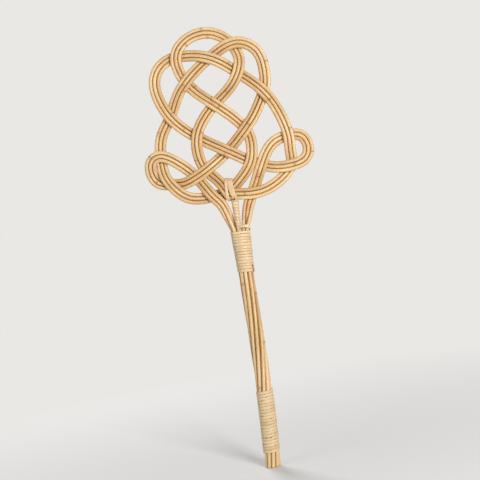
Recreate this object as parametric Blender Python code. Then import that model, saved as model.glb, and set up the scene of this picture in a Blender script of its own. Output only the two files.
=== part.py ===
"""Rattan carpet beater: a flat knot of three-cane bands on a handle of bundled canes.

Metres, +Z up, the striking face towards -Y. The origin is the cut butt end of the centre
cane, which runs straight up through the handle and the neck to the tie under the knot.
"""
import itertools
import math

import bpy
import numpy as np
from mathutils import Matrix

# Cane and split cane
CANE_DIAMETER = 0.0057
CANE_GAP = 0.0003
CROSSING_GAP = 0.001
STRIP_THICKNESS = 0.0011
STRIP_GAP = 0.00055
TIE_STRIP_WIDTH = 0.0039
SEAT_GAP = 0.0003

# Heights, one above the other, and the head's width
BUTT_LENGTH = 0.022
GRIP_LENGTH = 0.100
BARE_LENGTH = 0.184
NECK_LENGTH = 0.068
HEAD_HEIGHT = 0.3235
HEAD_WIDTH = 0.272
BUTT_STAGGER = 0.0006
THROAT_START = 0.0035
THROAT_GAP = 0.0025

# Bundle and windings
HANDLE_TWIST = math.radians(150)
OUTER_CANES = 9
INNER_CANES = 3
GRIP_TURNS = 20
NECK_TURNS = 14
THROAT_TURNS = 8
THROAT_SWELL = 0.0015
LEAD_RISE = 0.0075
LEAN_SHARE = 0.35

# Where front canes and back canes of the handle stop inside the neck binding
FRONT_FILLER_DROP = 0.013
BACK_FILLER_DROP = 0.016

# How finely curves are read
SAMPLES = 24
TIE_SAMPLES = 2
NECK_RINGS = 4
LOOP_POINTS = 24
LEAD_POINTS = 9
SAG = 0.00043
LONGEST_STEP = 0.045

PITCH = CANE_DIAMETER + CANE_GAP
RADIUS = CANE_DIAMETER / 2
LAYER = (CANE_DIAMETER + CROSSING_GAP) / 2
GRIP_BOTTOM = BUTT_LENGTH
GRIP_TOP = GRIP_BOTTOM + GRIP_LENGTH
NECK_BOTTOM = GRIP_TOP + BARE_LENGTH
NECK_TOP = NECK_BOTTOM + NECK_LENGTH

# Levels that a band takes where it crosses another, towards the front and the back
OVER, UNDER = -1, 1
BETWEEN = 0.25
FRONT, BEHIND = BETWEEN - 2, BETWEEN + 2
BEND = None

# Places of the knot, as shares of half the head's width, from the neck's middle, and of its height
PLACE_SHARES = {
    "neck left": (-0.088, 0.0),
    "throat left": (-0.163, 0.129),
    "left neck on arc": (-0.255, 0.180),
    "left neck under rise": (-0.412, 0.282),
    "left ear top run": (-0.609, 0.365),
    "left ear upper": (-0.789, 0.406),
    "left ear shoulder": (-0.892, 0.390),
    "left ear tip": (-0.924, 0.342),
    "left ear heel": (-0.862, 0.284),
    "left ear lower": (-0.720, 0.266),
    "rise foot": (-0.565, 0.260),
    "rise over left heart": (-0.288, 0.309),
    "rise under sweep": (-0.018, 0.387),
    "rise over slant": (0.229, 0.483),
    "rise bend": (0.361, 0.550),
    "shoulder over rise": (0.495, 0.649),
    "crown right": (0.539, 0.716),
    "crown shoulder": (0.500, 0.839),
    "crown top": (0.354, 0.894),
    "crown over right heart": (0.210, 0.901),
    "brow over crown": (-0.082, 0.848),
    "crown over top loop": (-0.374, 0.746),
    "fall bend": (-0.508, 0.677),
    "flank over fall": (-0.617, 0.589),
    "fall run": (-0.747, 0.500),
    "ear inner run": (-0.782, 0.331),
    "arc left": (-0.520, 0.187),
    "tie": (-0.068, 0.179),
    "arc over right neck": (0.202, 0.167),
    "arc right": (0.449, 0.190),
    "right ear lower": (0.690, 0.275),
    "right ear inner run": (0.708, 0.347),
    "right ear upper": (0.708, 0.422),
    "shoulder run": (0.635, 0.541),
    "right heart over brow": (0.234, 0.760),
    "top loop over brow": (-0.448, 0.876),
    "flank top": (-0.638, 0.844),
    "flank run": (-0.738, 0.759),
    "left heart over sweep": (-0.339, 0.476),
    "right heart over sweep": (0.236, 0.324),
    "right neck over sweep": (0.356, 0.300),
    "sweep run": (0.514, 0.277),
    "right ear heel": (0.857, 0.296),
    "right ear tip": (0.917, 0.353),
    "right ear shoulder": (0.855, 0.412),
    "right ear top run": (0.514, 0.394),
    "throat right": (0.132, 0.103),
    "neck right": (0.085, 0.0),
    "left heart foot": (-0.166, 0.249),
    "left heart run": (-0.352, 0.383),
    "left heart bend": (-0.242, 0.553),
    "heart centre": (-0.091, 0.621),
    "right heart rise": (0.119, 0.692),
    "right heart side": (0.271, 0.825),
    "top loop crest": (0.006, 0.966),
    "top loop shoulder": (-0.266, 0.957),
    "right heart run": (0.271, 0.394),
    "right heart foot": (0.129, 0.260),
    "right heart end": (-0.025, 0.201),
    "left heart tail": (-0.056, 0.171),
}

# The long band's way through the knot, from the neck's left side round to its right side
LONG_ROUTE = [
    ("neck left", BEND), ("throat left", BEND), ("left neck on arc", OVER),
    ("left neck under rise", UNDER), ("left ear top run", BEND), ("left ear upper", OVER),
    ("left ear shoulder", BEND), ("left ear tip", BEND), ("left ear heel", BEND),
    ("left ear lower", UNDER), ("rise foot", BEND), ("left neck under rise", OVER),
    ("rise over left heart", OVER), ("rise under sweep", UNDER), ("rise over slant", OVER),
    ("rise bend", BEND), ("shoulder over rise", UNDER), ("crown right", BEND),
    ("crown shoulder", BEND), ("crown top", BEND), ("crown over right heart", OVER),
    ("brow over crown", UNDER), ("crown over top loop", OVER), ("fall bend", BEND),
    ("flank over fall", UNDER), ("fall run", BEND), ("left ear upper", UNDER),
    ("ear inner run", BEND), ("left ear lower", OVER), ("arc left", BEND),
    ("left neck on arc", UNDER), ("tie", BETWEEN), ("arc over right neck", OVER),
    ("arc right", BEND), ("right ear lower", UNDER), ("right ear inner run", BEND),
    ("right ear upper", OVER), ("shoulder run", BEND), ("shoulder over rise", OVER),
    ("right heart over brow", UNDER), ("brow over crown", OVER), ("top loop over brow", UNDER),
    ("flank top", BEND), ("flank run", BEND), ("flank over fall", OVER),
    ("left heart over sweep", UNDER), ("rise under sweep", OVER),
    ("right heart over sweep", UNDER), ("right neck over sweep", UNDER), ("sweep run", BEND),
    ("right ear lower", OVER), ("right ear heel", BEND), ("right ear tip", BEND),
    ("right ear shoulder", BEND), ("right ear upper", UNDER), ("right ear top run", BEND),
    ("right neck over sweep", OVER), ("arc over right neck", UNDER), ("throat right", BEND),
    ("neck right", BEND),
]

# The short band's way: both of its ends are caught by the tie
SHORT_ROUTE = [
    ("left heart tail", BEND), ("tie", FRONT), ("left heart foot", BEND), ("rise over left heart", UNDER),
    ("left heart run", BEND), ("left heart over sweep", OVER), ("left heart bend", BEND),
    ("heart centre", UNDER), ("right heart rise", BEND), ("right heart over brow", OVER),
    ("right heart side", BEND), ("crown over right heart", UNDER), ("top loop crest", BEND),
    ("top loop shoulder", BEND), ("top loop over brow", OVER), ("crown over top loop", UNDER),
    ("heart centre", OVER), ("rise over slant", UNDER), ("right heart run", BEND),
    ("right heart over sweep", OVER), ("right heart foot", BEND), ("right heart end", BEND),
    ("tie", BEHIND),
]
ROUTES = {"long": LONG_ROUTE, "short": SHORT_ROUTE}

# Canes of the bundle by the angle of their place round it, in degrees from +X; -90 is the front
OUTER_ENDS = {"left outer": 180, "left middle": -140, "left inner": 140,
              "right outer": -20, "right middle": 20}
INNER_ENDS = {"centre": 240, "right inner": 0}
FRONT_FILLERS = {"handle_cane_front_left": -100, "handle_cane_front_right": -60}
BACK_FILLERS = {"handle_cane_back_right": 60, "handle_cane_back": 100}
CORE_FILLERS = {"handle_cane_core": 120}

# Where the knot's ends enter the neck binding, as shares of the pitch from the centre cane
NECK_TOP_SHARES = {
    "left outer": (-1.65, 0.45),
    "left middle": (-1.25, -0.50),
    "left inner": (-1.00, 1.30),
    "right outer": (2.15, -0.10),
    "right middle": (2.05, 0.95),
    "right inner": (1.20, 0.35),
}
THROAT_EASE_SHARE = 0.72


# How far short of the left heart's tail each short cane is cut, as shares of the pitch
TAIL_CUT_SHARES = {"outer": 0, "middle": 1.65, "inner": 2.95}

# Where each binding starts, as a share of a turn before +X, and its way round, seen from above:
# 1 is anticlockwise and -1 clockwise
NECK_START_SHARE = -0.147
GRIP_START_SHARE = 0.25
NECK_WAY = 1
GRIP_WAY = -1

# The tie's way round the crossing, from its cut tip in front of the throat: across and up as
# shares like the places above, and depth as a share of its reach, from -1 in front to 1 behind
TIE_ROUTE_SHARES = [
    (0.009, 0.143, -1), (-0.022, 0.198, -1), (-0.025, 0.238, -1),
    (-0.018, 0.255, -0.5), (-0.018, 0.255, 0.5),
    (-0.024, 0.238, 1), (-0.020, 0.198, 1), (-0.018, 0.156, 1),
    (-0.022, 0.147, 0.5), (-0.028, 0.147, -0.5),
    (-0.032, 0.156, -1), (-0.054, 0.198, -1), (-0.055, 0.238, -1),
    (-0.048, 0.255, -0.5), (-0.048, 0.255, 0.5),
    (-0.054, 0.238, 1), (-0.050, 0.198, 1), (-0.052, 0.156, 1),
    (-0.060, 0.147, 0.5), (-0.075, 0.147, -0.5),
    (-0.088, 0.156, -1), (-0.090, 0.198, -1), (-0.086, 0.238, -1),
    (-0.078, 0.255, -0.5), (-0.078, 0.255, 0.5),
    (-0.084, 0.238, 1), (-0.084, 0.200, 1),
]


def clear_scene():
    """Removes what the file opened with."""
    for thing in list(bpy.data.objects):
        bpy.data.objects.remove(thing)


def new_collection(name):
    """A collection linked to the scene."""
    collection = bpy.data.collections.new(name)
    bpy.context.scene.collection.children.link(collection)
    return collection


def principled(name, colour, roughness):
    """A material for dry plant fibre: no metal, a plain colour and a roughness."""
    material = bpy.data.materials.new(name)
    material.use_nodes = True
    shader = material.node_tree.nodes["Principled BSDF"]
    shader.inputs["Base Color"].default_value = (*colour, 1)
    shader.inputs["Roughness"].default_value = roughness
    shader.inputs["Metallic"].default_value = 0
    return material


def cane_material(name):
    """Whole peeled cane, pale straw with a soft sheen."""
    return principled(name + "_rattan", (0.76, 0.55, 0.29), 0.42)


def strip_material(name):
    """Split cane, paler and drier than the whole canes."""
    return principled(name + "_split_cane", (0.74, 0.58, 0.35), 0.55)


def cubic_through(knots, values, at):
    """A natural cubic spline through values at the knots, read at the places given."""
    gaps = np.diff(knots)
    system = np.eye(len(knots))
    pulls = np.zeros_like(values)
    for i in range(1, len(gaps)):
        system[i, i - 1:i + 2] = gaps[i - 1], 2 * (gaps[i - 1] + gaps[i]), gaps[i]
        slope_in = (values[i] - values[i - 1]) / gaps[i - 1]
        slope_out = (values[i + 1] - values[i]) / gaps[i]
        pulls[i] = 6 * (slope_out - slope_in)
    bends = np.linalg.solve(system, pulls)
    span = np.clip(np.searchsorted(knots, at, side="right") - 1, 0, len(gaps) - 1)
    width = gaps[span][:, None]
    near = ((knots[span + 1] - at) / gaps[span])[:, None]
    far = 1 - near
    curve = near * values[span] + far * values[span + 1]
    curve += ((near ** 3 - near) * bends[span] + (far ** 3 - far) * bends[span + 1]) * width ** 2 / 6
    return curve


def smooth_line(points, samples):
    """A smooth line through points, with the same number of samples between each two."""
    points = np.array(points)
    chords = np.linalg.norm(np.diff(points, axis=0), axis=1)
    knots = np.concatenate([[0], np.cumsum(np.sqrt(chords))])
    places = np.arange((len(points) - 1) * samples + 1) / samples
    return cubic_through(knots, points, np.interp(places, np.arange(len(knots)), knots))


def run_length(line):
    """Distance along a line at each of its points."""
    return np.concatenate([[0], np.cumsum(np.linalg.norm(np.diff(line, axis=0), axis=1))])


def smoothstep(part):
    """Eases from 0 to 1, level at both ends."""
    part = np.clip(part, 0, 1)
    return part * part * (3 - 2 * part)


def read_between(line, places):
    """A line read at fractional places along its samples."""
    return np.stack([np.interp(places, np.arange(len(line)), axis) for axis in line.T], axis=1)


def ring_places(lines):
    """Samples at which a band's canes get their rings: close together where any of them bends."""
    density = 0
    for line in lines:
        along = run_length(line)
        step = np.maximum(np.gradient(along), LONGEST_STEP / len(line) ** 2)
        heading = np.gradient(line, axis=0) / step[:, None]
        turning = np.linalg.norm(np.gradient(heading, axis=0), axis=1) / step
        window = np.ones(SAMPLES // 2 + 1) / (SAMPLES // 2 + 1)
        turning = np.convolve(np.pad(turning, SAMPLES // 4, mode="edge"), window, mode="valid")
        needed = np.sqrt(1 / LONGEST_STEP ** 2 + turning / (8 * SAG))
        density = np.maximum(density, needed * step)
    filled = np.concatenate([[0], np.cumsum((density[1:] + density[:-1]) / 2)])
    marks = np.linspace(0, filled[-1], math.ceil(filled[-1]) + 1)
    return np.interp(marks, filled, np.arange(len(filled)))


def inner_radius():
    """Radius on which the inner canes touch each other."""
    return PITCH / (2 * math.sin(math.pi / INNER_CANES))


def ring_radius():
    """Radius of the ring of outer canes, each touching an inner cane."""
    half_step = math.pi / OUTER_CANES
    inner = inner_radius()
    return inner * math.cos(half_step) + math.sqrt(PITCH ** 2 - (inner * math.sin(half_step)) ** 2)


def bundle_place(angle, radius):
    """A cane's place in the untwisted bundle, from the centre cane."""
    centre = math.radians(INNER_ENDS["centre"])
    x = radius * math.cos(math.radians(angle)) - inner_radius() * math.cos(centre)
    y = radius * math.sin(math.radians(angle)) - inner_radius() * math.sin(centre)
    return np.array([x, y])


def neck_middle():
    """The bundle's middle at the neck, from the centre cane."""
    return bundle_place(0, 0)


def twisted(place, heights):
    """A cane in the handle: the bundle turns about the centre cane, from none at the neck."""
    down = (NECK_BOTTOM - heights) / NECK_BOTTOM
    turn = -HANDLE_TWIST * down * down * (2 - down)
    x = place[0] * np.cos(turn) - place[1] * np.sin(turn)
    y = place[0] * np.sin(turn) + place[1] * np.cos(turn)
    return np.stack([x, y, heights], axis=1)


def handle_heights():
    """Heights of the rings that all handle canes share, from the butt to the neck."""
    return np.linspace(BUTT_STAGGER, NECK_BOTTOM, math.ceil(NECK_BOTTOM / LONGEST_STEP) + 1)


def place_in_head(shares):
    """A place of the knot's plane as x and z, from its shares."""
    return neck_middle()[0] + shares[0] * HEAD_WIDTH / 2, NECK_TOP + shares[1] * HEAD_HEIGHT


def side_directions(line):
    """Unit vectors in the knot's plane, square to a plan line."""
    heading = np.gradient(line, axis=0)
    heading /= np.linalg.norm(heading, axis=1)[:, None]
    return np.stack([-heading[:, 1], heading[:, 0]], axis=1)


def band_plans(route):
    """Plan lines of a band's outer, middle and inner cane, sample by sample side by side."""
    middle = smooth_line([place_in_head(PLACE_SHARES[name]) for name, level in route], SAMPLES)
    sides = PITCH * side_directions(middle)
    return {"outer": middle + sides, "middle": middle, "inner": middle - sides}


def crossings(first, second):
    """Where two plan lines cross, as places along the first and along the second."""
    step_a = np.diff(first, axis=0)[:, None]
    step_b = np.diff(second, axis=0)[None, :]
    apart = second[None, :-1] - first[:-1, None]
    skew = step_a[..., 0] * step_b[..., 1] - step_a[..., 1] * step_b[..., 0]
    skew = np.where(skew == 0, np.inf, skew)
    along_a = (apart[..., 0] * step_b[..., 1] - apart[..., 1] * step_b[..., 0]) / skew
    along_b = (apart[..., 0] * step_a[..., 1] - apart[..., 1] * step_a[..., 0]) / skew
    meets = (along_a >= 0) & (along_a < 1) & (along_b >= 0) & (along_b < 1)
    if first is second:
        index = np.arange(len(first) - 1)
        meets &= np.abs(index[:, None] - index[None, :]) > SAMPLES
    at_a, at_b = np.nonzero(meets)
    return zip(at_a + along_a[at_a, at_b], at_b + along_b[at_a, at_b])


def shared_places(band, other_band):
    """Pairs of stops at which the two bands' routes name the same crossing."""
    return [(i, j) for i, (name, level) in enumerate(ROUTES[band]) if level is not BEND
            for j, (other, other_level) in enumerate(ROUTES[other_band])
            if other == name and other_level is not BEND and (band != other_band or i != j)]


def crossing_levels(line, band, plans):
    """Places along a cane where it crosses another or ends, with the level that its route gives."""
    stops = [(i * SAMPLES, level) for i, (name, level) in enumerate(ROUTES[band])
             if level in (FRONT, BEHIND)]
    for other_band, lines in plans.items():
        shared = shared_places(band, other_band)
        for other in lines.values():
            for at, at_other in crossings(line, other):
                miss = [abs(at - i * SAMPLES) + abs(at_other - j * SAMPLES) for i, j in shared]
                stop = shared[int(np.argmin(miss))][0]
                stops.append((at, ROUTES[band][stop][1]))
    stops.sort()
    return [stop for before, stop in zip([(-1, 0)] + stops, stops) if stop[0] - before[0] > 1 / SAMPLES]


def depths(line, stops):
    """Depth of a cane along its plan line: level at each crossing and eased between them."""
    along = run_length(line)
    knots = np.interp([at for at, level in stops], np.arange(len(line)), along)
    levels = np.array([level for at, level in stops])
    span = np.clip(np.searchsorted(knots, along) - 1, 0, len(knots) - 2)
    part = smoothstep((along - knots[span]) / (knots[span + 1] - knots[span]))
    return neck_middle()[1] + LAYER * (levels[span] + (levels[span + 1] - levels[span]) * part)


def gathered(line, middle, reach, target):
    """A cane's first stretch above the neck, moved from the flat band to its place in the neck.

    Depth leads and the sideways move follows, so canes that pass behind each other stay apart.
    """
    turn = np.clip(1 - run_length(middle) / reach, 0, 1) * math.pi / 2
    eased = line.copy()
    eased[:, 0] += (target[0] - line[0, 0]) * (1 - np.cos(turn))
    eased[:, 1] += (target[1] - line[:, 1]) * np.sin(turn)
    eased[:, 2] += (NECK_TOP - line[0, 2]) * (1 - np.cos(turn))
    return eased


def neck_place(end):
    """Where an end of the knot enters the neck binding from above."""
    across, back = NECK_TOP_SHARES[end]
    return np.array([across, back]) * PITCH


def knot_lines(band, plans):
    """A band's centre lines through the knot, in space, by cane."""
    lines = {}
    for name, plan in plans[band].items():
        depth = depths(plan, crossing_levels(plan, band, plans))
        lines[name] = np.stack([plan[:, 0], depth, plan[:, 1]], axis=1)
    return lines


def throat_lines(plans):
    """The long band's centre lines, gathered at both ends into the neck."""
    middle = plans["long"]["middle"]
    stops = [i * SAMPLES for i, (name, level) in enumerate(LONG_ROUTE) if level is not BEND]
    along = run_length(middle)
    left_reach = THROAT_EASE_SHARE * along[stops[0]]
    right_reach = THROAT_EASE_SHARE * (along[-1] - along[stops[-1]])
    lines = {}
    for name, line in knot_lines("long", plans).items():
        line = gathered(line, middle, left_reach, neck_place("left " + name))
        line = gathered(line[::-1], middle[::-1], right_reach, neck_place("right " + name))
        lines[name] = line[::-1]
    return lines


def handle_end(end):
    """Rings of a knot cane's end, from the butt up to just under the neck's top."""
    if end in OUTER_ENDS:
        place = bundle_place(OUTER_ENDS[end], ring_radius())
    else:
        place = bundle_place(INNER_ENDS[end], inner_radius())
    steps = np.arange(1, NECK_RINGS)[:, None] / NECK_RINGS
    spread = place + (neck_place(end) - place) * smoothstep(steps)
    neck = np.concatenate([spread, NECK_BOTTOM + NECK_LENGTH * steps], axis=1)
    return np.concatenate([twisted(place, handle_heights()), neck])


def long_canes(plans):
    """Rings of the long canes: up the handle, through the knot and down the handle again."""
    lines = throat_lines(plans)
    places = ring_places(list(lines.values()))
    return {name: np.concatenate([handle_end("left " + name), read_between(line, places),
                                  handle_end("right " + name)[::-1]])
            for name, line in lines.items()}


def short_canes(plans):
    """Rings of the short canes, whose ends lie over and under the long band at the tie."""
    lines = knot_lines("short", plans)
    places = ring_places(list(lines.values()))
    canes = {}
    for name, line in lines.items():
        cut = np.interp(TAIL_CUT_SHARES[name] * PITCH, run_length(line), np.arange(len(line)))
        canes[name] = read_between(line, np.concatenate([[cut], places[places > cut + 1]]))
    return canes


def filler_cane(angle, radius, drop):
    """Rings of a cane that fills the handle and stops inside the neck binding."""
    line = twisted(bundle_place(angle, radius), handle_heights())
    return np.concatenate([line, [[line[-1, 0], line[-1, 1], NECK_TOP - drop]]])


def filler_canes():
    """The handle canes that are no part of the knot, by name."""
    canes = {name: filler_cane(angle, ring_radius(), FRONT_FILLER_DROP)
             for name, angle in FRONT_FILLERS.items()}
    canes.update({name: filler_cane(angle, ring_radius(), BACK_FILLER_DROP)
                  for name, angle in BACK_FILLERS.items()})
    canes.update({name: filler_cane(angle, inner_radius(), BACK_FILLER_DROP)
                  for name, angle in CORE_FILLERS.items()})
    return canes


def throat_top():
    """Height at which the centre cane stops, under the long band's lowest cane."""
    tie = place_in_head(PLACE_SHARES["tie"])
    return tie[1] - PITCH - RADIUS - THROAT_GAP


def centre_cane():
    """The straight cane in the middle of it all, from the butt to the tie."""
    return np.array([[0, 0, 0], [0, 0, throat_top()]])


def rising_part(line):
    """The stretch of a cane from its end at the butt to a little above the neck."""
    stop = int(np.argmax(line[:, 2] > NECK_TOP + 2 * LEAD_RISE))
    return line[:stop + 1]


def standing_canes(long, fillers):
    """What the bindings go round, as centre lines that rise all the way, each with its radius."""
    canes = [(line, RADIUS) for line in fillers.values()]
    for line in long.values():
        canes.append((rising_part(line), RADIUS))
        canes.append((rising_part(line[::-1]), RADIUS))
    canes.append((centre_cane(), RADIUS + SEAT_GAP + STRIP_THICKNESS))
    return canes


def wrapped(canes, heights, angles, width):
    """A strip's centre line pulled tight round canes: at each angle on the outermost cane.

    It clears leaning canes at its lower edge and at its upper edge. Above a cane that has
    stopped, it leans in towards the canes that go on.
    """
    outward = np.stack([np.cos(angles), np.sin(angles)], axis=1)
    furthest = np.full(len(angles), -np.inf)
    path = np.zeros((len(angles), 3))
    path[:, 2] = heights
    for (line, radius), edge in itertools.product(canes, (-1, 0, 1)):
        level = heights + edge * width / 2
        place = np.stack([np.interp(level, line[:, 2], line[:, axis]) for axis in (0, 1)], axis=1)
        beyond = np.maximum(0, heights - width / 2 - line[-1, 2])
        reach = radius + SEAT_GAP + STRIP_THICKNESS / 2 - LEAN_SHARE * beyond
        support = (place * outward).sum(axis=1) + reach
        leads = support > furthest
        furthest[leads] = support[leads]
        path[leads, :2] = (place + reach[:, None] * outward)[leads]
    return path


def turn_pitch(length, turns):
    """Height of one turn of a strip that fills a length, gap included."""
    return (length + STRIP_GAP) / (turns + 1)


def winding(canes, bottom, top, turns, start_share, way, lead=0):
    """Path and width of a strip wound down round canes, after part of a lead turn if there is one."""
    pitch = turn_pitch(top - bottom, turns)
    width = pitch - STRIP_GAP
    steps = np.arange(-LEAD_POINTS if lead else 0, turns * LOOP_POINTS + 1)
    wound = steps / LOOP_POINTS
    rise = (lead - pitch + width / 2) * smoothstep(-steps / LEAD_POINTS) if lead else 0
    heights = top - width / 2 - pitch * wound + rise
    return wrapped(canes, heights, way * (wound - start_share) * 2 * math.pi, width), width


def throat_winding():
    """Path and width of the strip round the centre cane, which swells towards the tie."""
    bottom = NECK_TOP + THROAT_START
    length = throat_top() - bottom
    pitch = turn_pitch(length, THROAT_TURNS)
    width = pitch - STRIP_GAP
    wound = np.arange(THROAT_TURNS * LOOP_POINTS + 1) / LOOP_POINTS
    angle = (wound + 0.25) * 2 * math.pi
    radius = RADIUS + SEAT_GAP + STRIP_THICKNESS / 2 + THROAT_SWELL * (1 - wound / THROAT_TURNS)
    heights = throat_top() - width / 2 - pitch * wound
    return np.stack([radius * np.cos(angle), radius * np.sin(angle), heights], axis=1), width


def tie_path():
    """The tie's way: up in front of the crossing, over it, down behind and under, and again."""
    reach = LAYER * (BEHIND - BETWEEN) + RADIUS + SEAT_GAP + STRIP_THICKNESS / 2
    middle = neck_middle()[1] + LAYER * BETWEEN
    points = []
    for across, up, depth in TIE_ROUTE_SHARES:
        x, z = place_in_head((across, up))
        points.append((x, middle + depth * reach, z))
    return smooth_line(points, TIE_SAMPLES)


def add_curve(name, rings, collection, material):
    """A curve object through rings, each a corner of a poly line."""
    curve = bpy.data.curves.new(name, "CURVE")
    curve.dimensions = "3D"
    curve.use_fill_caps = True
    curve.resolution_u = 1
    curve.bevel_resolution = 2
    spline = curve.splines.new("POLY")
    spline.points.add(len(rings) - 1)
    corners = np.concatenate([rings, np.ones((len(rings), 1))], axis=1)
    spline.points.foreach_set("co", corners.ravel())
    spline.use_smooth = True
    curve.materials.append(material)
    thing = bpy.data.objects.new(name, curve)
    collection.objects.link(thing)
    return thing


def add_cane(name, rings, collection):
    """A whole cane: a round tube with cut ends."""
    cane = add_curve(name, rings, collection, cane_material(name))
    cane.data.bevel_depth = RADIUS
    return cane


def strip_section(name, width, guides):
    """The rectangle that a split cane's curve carries along, flat side to what it binds."""
    curve = bpy.data.curves.new(name + "_section", "CURVE")
    curve.dimensions = "2D"
    spline = curve.splines.new("POLY")
    spline.points.add(3)
    spline.use_cyclic_u = True
    corners = [(-1, -1), (-1, 1), (1, 1), (1, -1)]
    for point, (out, up) in zip(spline.points, corners):
        point.co = (out * STRIP_THICKNESS / 2, up * width / 2, 0, 1)
    section = bpy.data.objects.new(name + "_section", curve)
    section.hide_render = True
    section.display_type = "WIRE"
    guides.objects.link(section)
    return section


def add_strip(name, path, width, collection, guides, turned=0):
    """A split cane along a path; turned tips the object so that its Z is the loop's axis."""
    tip = Matrix.Rotation(turned, 3, "Y")
    strip = add_curve(name, path @ np.array(tip), collection, strip_material(name))
    strip.data.twist_mode = "Z_UP"
    strip.data.bevel_mode = "OBJECT"
    strip.data.bevel_object = strip_section(name, width, guides)
    strip.rotation_euler = (0, turned, 0)
    return strip


def print_least_gap(name, path, width):
    """Measures on its points how near a winding's turns come to each other, and prints it."""
    half = np.array([0, 0, width / 2])
    lower = path - half
    upper = path + half
    apart = np.linalg.norm(lower[:, None] - upper[None, :], axis=2)
    index = np.arange(len(path))
    later = index[None, :] - index[:, None] >= LOOP_POINTS // 2
    print(f"{name}: least gap between turns {apart[later].min() * 1000:.2f} mm")


def add_knot(plans, collection):
    """The canes of the knot, which go on into the handle; gives the long canes' rings."""
    long = long_canes(plans)
    for name, rings in long.items():
        add_cane("long_cane_" + name, rings, collection)
    for name, rings in short_canes(plans).items():
        add_cane("short_cane_" + name, rings, collection)
    return long


def add_handle(collection):
    """The canes that belong to the handle alone; gives the fillers' rings."""
    fillers = filler_canes()
    for name, rings in fillers.items():
        add_cane(name, rings, collection)
    add_cane("centre_cane", centre_cane(), collection)
    return fillers


def add_bindings(canes, collection, guides):
    """The split canes round the grip, the neck and the throat, and the tie."""
    windings = {
        "grip_binding": winding(canes, GRIP_BOTTOM, GRIP_TOP, GRIP_TURNS, GRIP_START_SHARE, GRIP_WAY),
        "neck_binding": winding(canes, NECK_BOTTOM, NECK_TOP, NECK_TURNS, NECK_START_SHARE, NECK_WAY,
                                LEAD_RISE),
        "throat_winding": throat_winding(),
    }
    for name, (path, width) in windings.items():
        add_strip(name, path, width, collection, guides)
        print_least_gap(name, path, width)
    add_strip("throat_tie", tie_path(), TIE_STRIP_WIDTH, collection, guides, math.pi / 2)


def main():
    """Builds the beater."""
    clear_scene()
    collection = new_collection("carpet_beater")
    guides = new_collection("guides")
    plans = {band: band_plans(route) for band, route in ROUTES.items()}
    long = add_knot(plans, collection)
    fillers = add_handle(collection)
    add_bindings(standing_canes(long, fillers), collection, guides)


if __name__ == "__main__":
    main()
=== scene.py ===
"""The looks of a rattan carpet beater, on the frame that its CAD model gives.

Metres, +Z up, the striking face towards -Y, the origin at the cut butt of the centre cane. The
canes follow the same routes as the solids, drawn finer, with the rings, grain and colour of cane.
"""
import enum
import itertools
import logging
import math
from dataclasses import dataclass, field
from typing import Iterable, Optional, Sequence

import bpy
import numpy as np
from mathutils import Matrix, Vector


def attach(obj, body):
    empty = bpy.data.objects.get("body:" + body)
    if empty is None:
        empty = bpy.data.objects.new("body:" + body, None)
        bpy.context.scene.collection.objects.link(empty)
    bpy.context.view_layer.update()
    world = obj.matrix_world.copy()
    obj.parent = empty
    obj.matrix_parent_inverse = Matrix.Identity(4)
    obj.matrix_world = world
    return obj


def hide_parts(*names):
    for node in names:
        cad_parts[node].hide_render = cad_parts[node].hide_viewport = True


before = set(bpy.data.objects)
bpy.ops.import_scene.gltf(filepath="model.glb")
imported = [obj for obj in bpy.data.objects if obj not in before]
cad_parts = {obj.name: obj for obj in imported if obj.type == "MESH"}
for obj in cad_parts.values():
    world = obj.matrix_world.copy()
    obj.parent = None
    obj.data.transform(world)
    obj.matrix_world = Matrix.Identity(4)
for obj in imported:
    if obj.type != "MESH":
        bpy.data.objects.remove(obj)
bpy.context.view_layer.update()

log = logging.getLogger("carpet_beater")
Array = np.ndarray
Lines = dict[str, Array]
Canes = list[tuple[Array, float]]
Point = tuple[float, float, float]
Colour = tuple[float, float, float, float]
Material = bpy.types.Material
Socket = bpy.types.NodeSocket
RING_VALUES = ("ring_reach", "stain", "tone", "free_side")
SAME_PLACE_SHARE = 0.01


class Level(enum.Enum):
    """The depth that a band takes at a place, from front to back, in layers of the weave."""

    BEND = None
    OVER = -1.0
    UNDER = 1.0
    BETWEEN = 0.25
    FRONT = -1.75
    BEHIND = 2.25


class Ring(enum.Enum):
    """The two rings of canes in the handle."""

    OUTER = "outer"
    INNER = "inner"


class Slot(enum.Enum):
    """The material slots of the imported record."""

    CANE = "cane"
    SPLIT_CANE = "split_cane"


class MarkKind(enum.Enum):
    """What a mark on a cane is."""

    RING = "ring"
    STAIN = "stain"


def cubic_through(knots: Array, values: Array, at: Array) -> Array:
    """A natural cubic spline, found from the condition that its slope has no jump at a knot.

    Args:
        knots: Rising parameters, one for each value.
        values: The points that the curve passes.
        at: Parameters to read it at.

    Returns:
        The points of the curve at those parameters.
    """
    gaps = np.diff(knots)
    inner = np.arange(1, len(gaps))
    system = np.eye(len(knots))
    system[inner, inner - 1] = gaps[:-1]
    system[inner, inner] = 2 * (gaps[:-1] + gaps[1:])
    system[inner, inner + 1] = gaps[1:]
    pulls = np.zeros_like(values)
    pulls[1:-1] = 6 * np.diff(np.diff(values, axis=0) / gaps[:, None], axis=0)
    bends = np.linalg.solve(system, pulls)
    span = np.clip(np.searchsorted(knots, at, side="right") - 1, 0, len(gaps) - 1)
    width = gaps[span][:, None]
    near = (knots[span + 1] - at)[:, None] / width
    far = 1 - near
    chord = near * values[span] + far * values[span + 1]
    bulge = (near ** 3 - near) * bends[span] + (far ** 3 - far) * bends[span + 1]
    return chord + bulge * width ** 2 / 6


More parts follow.
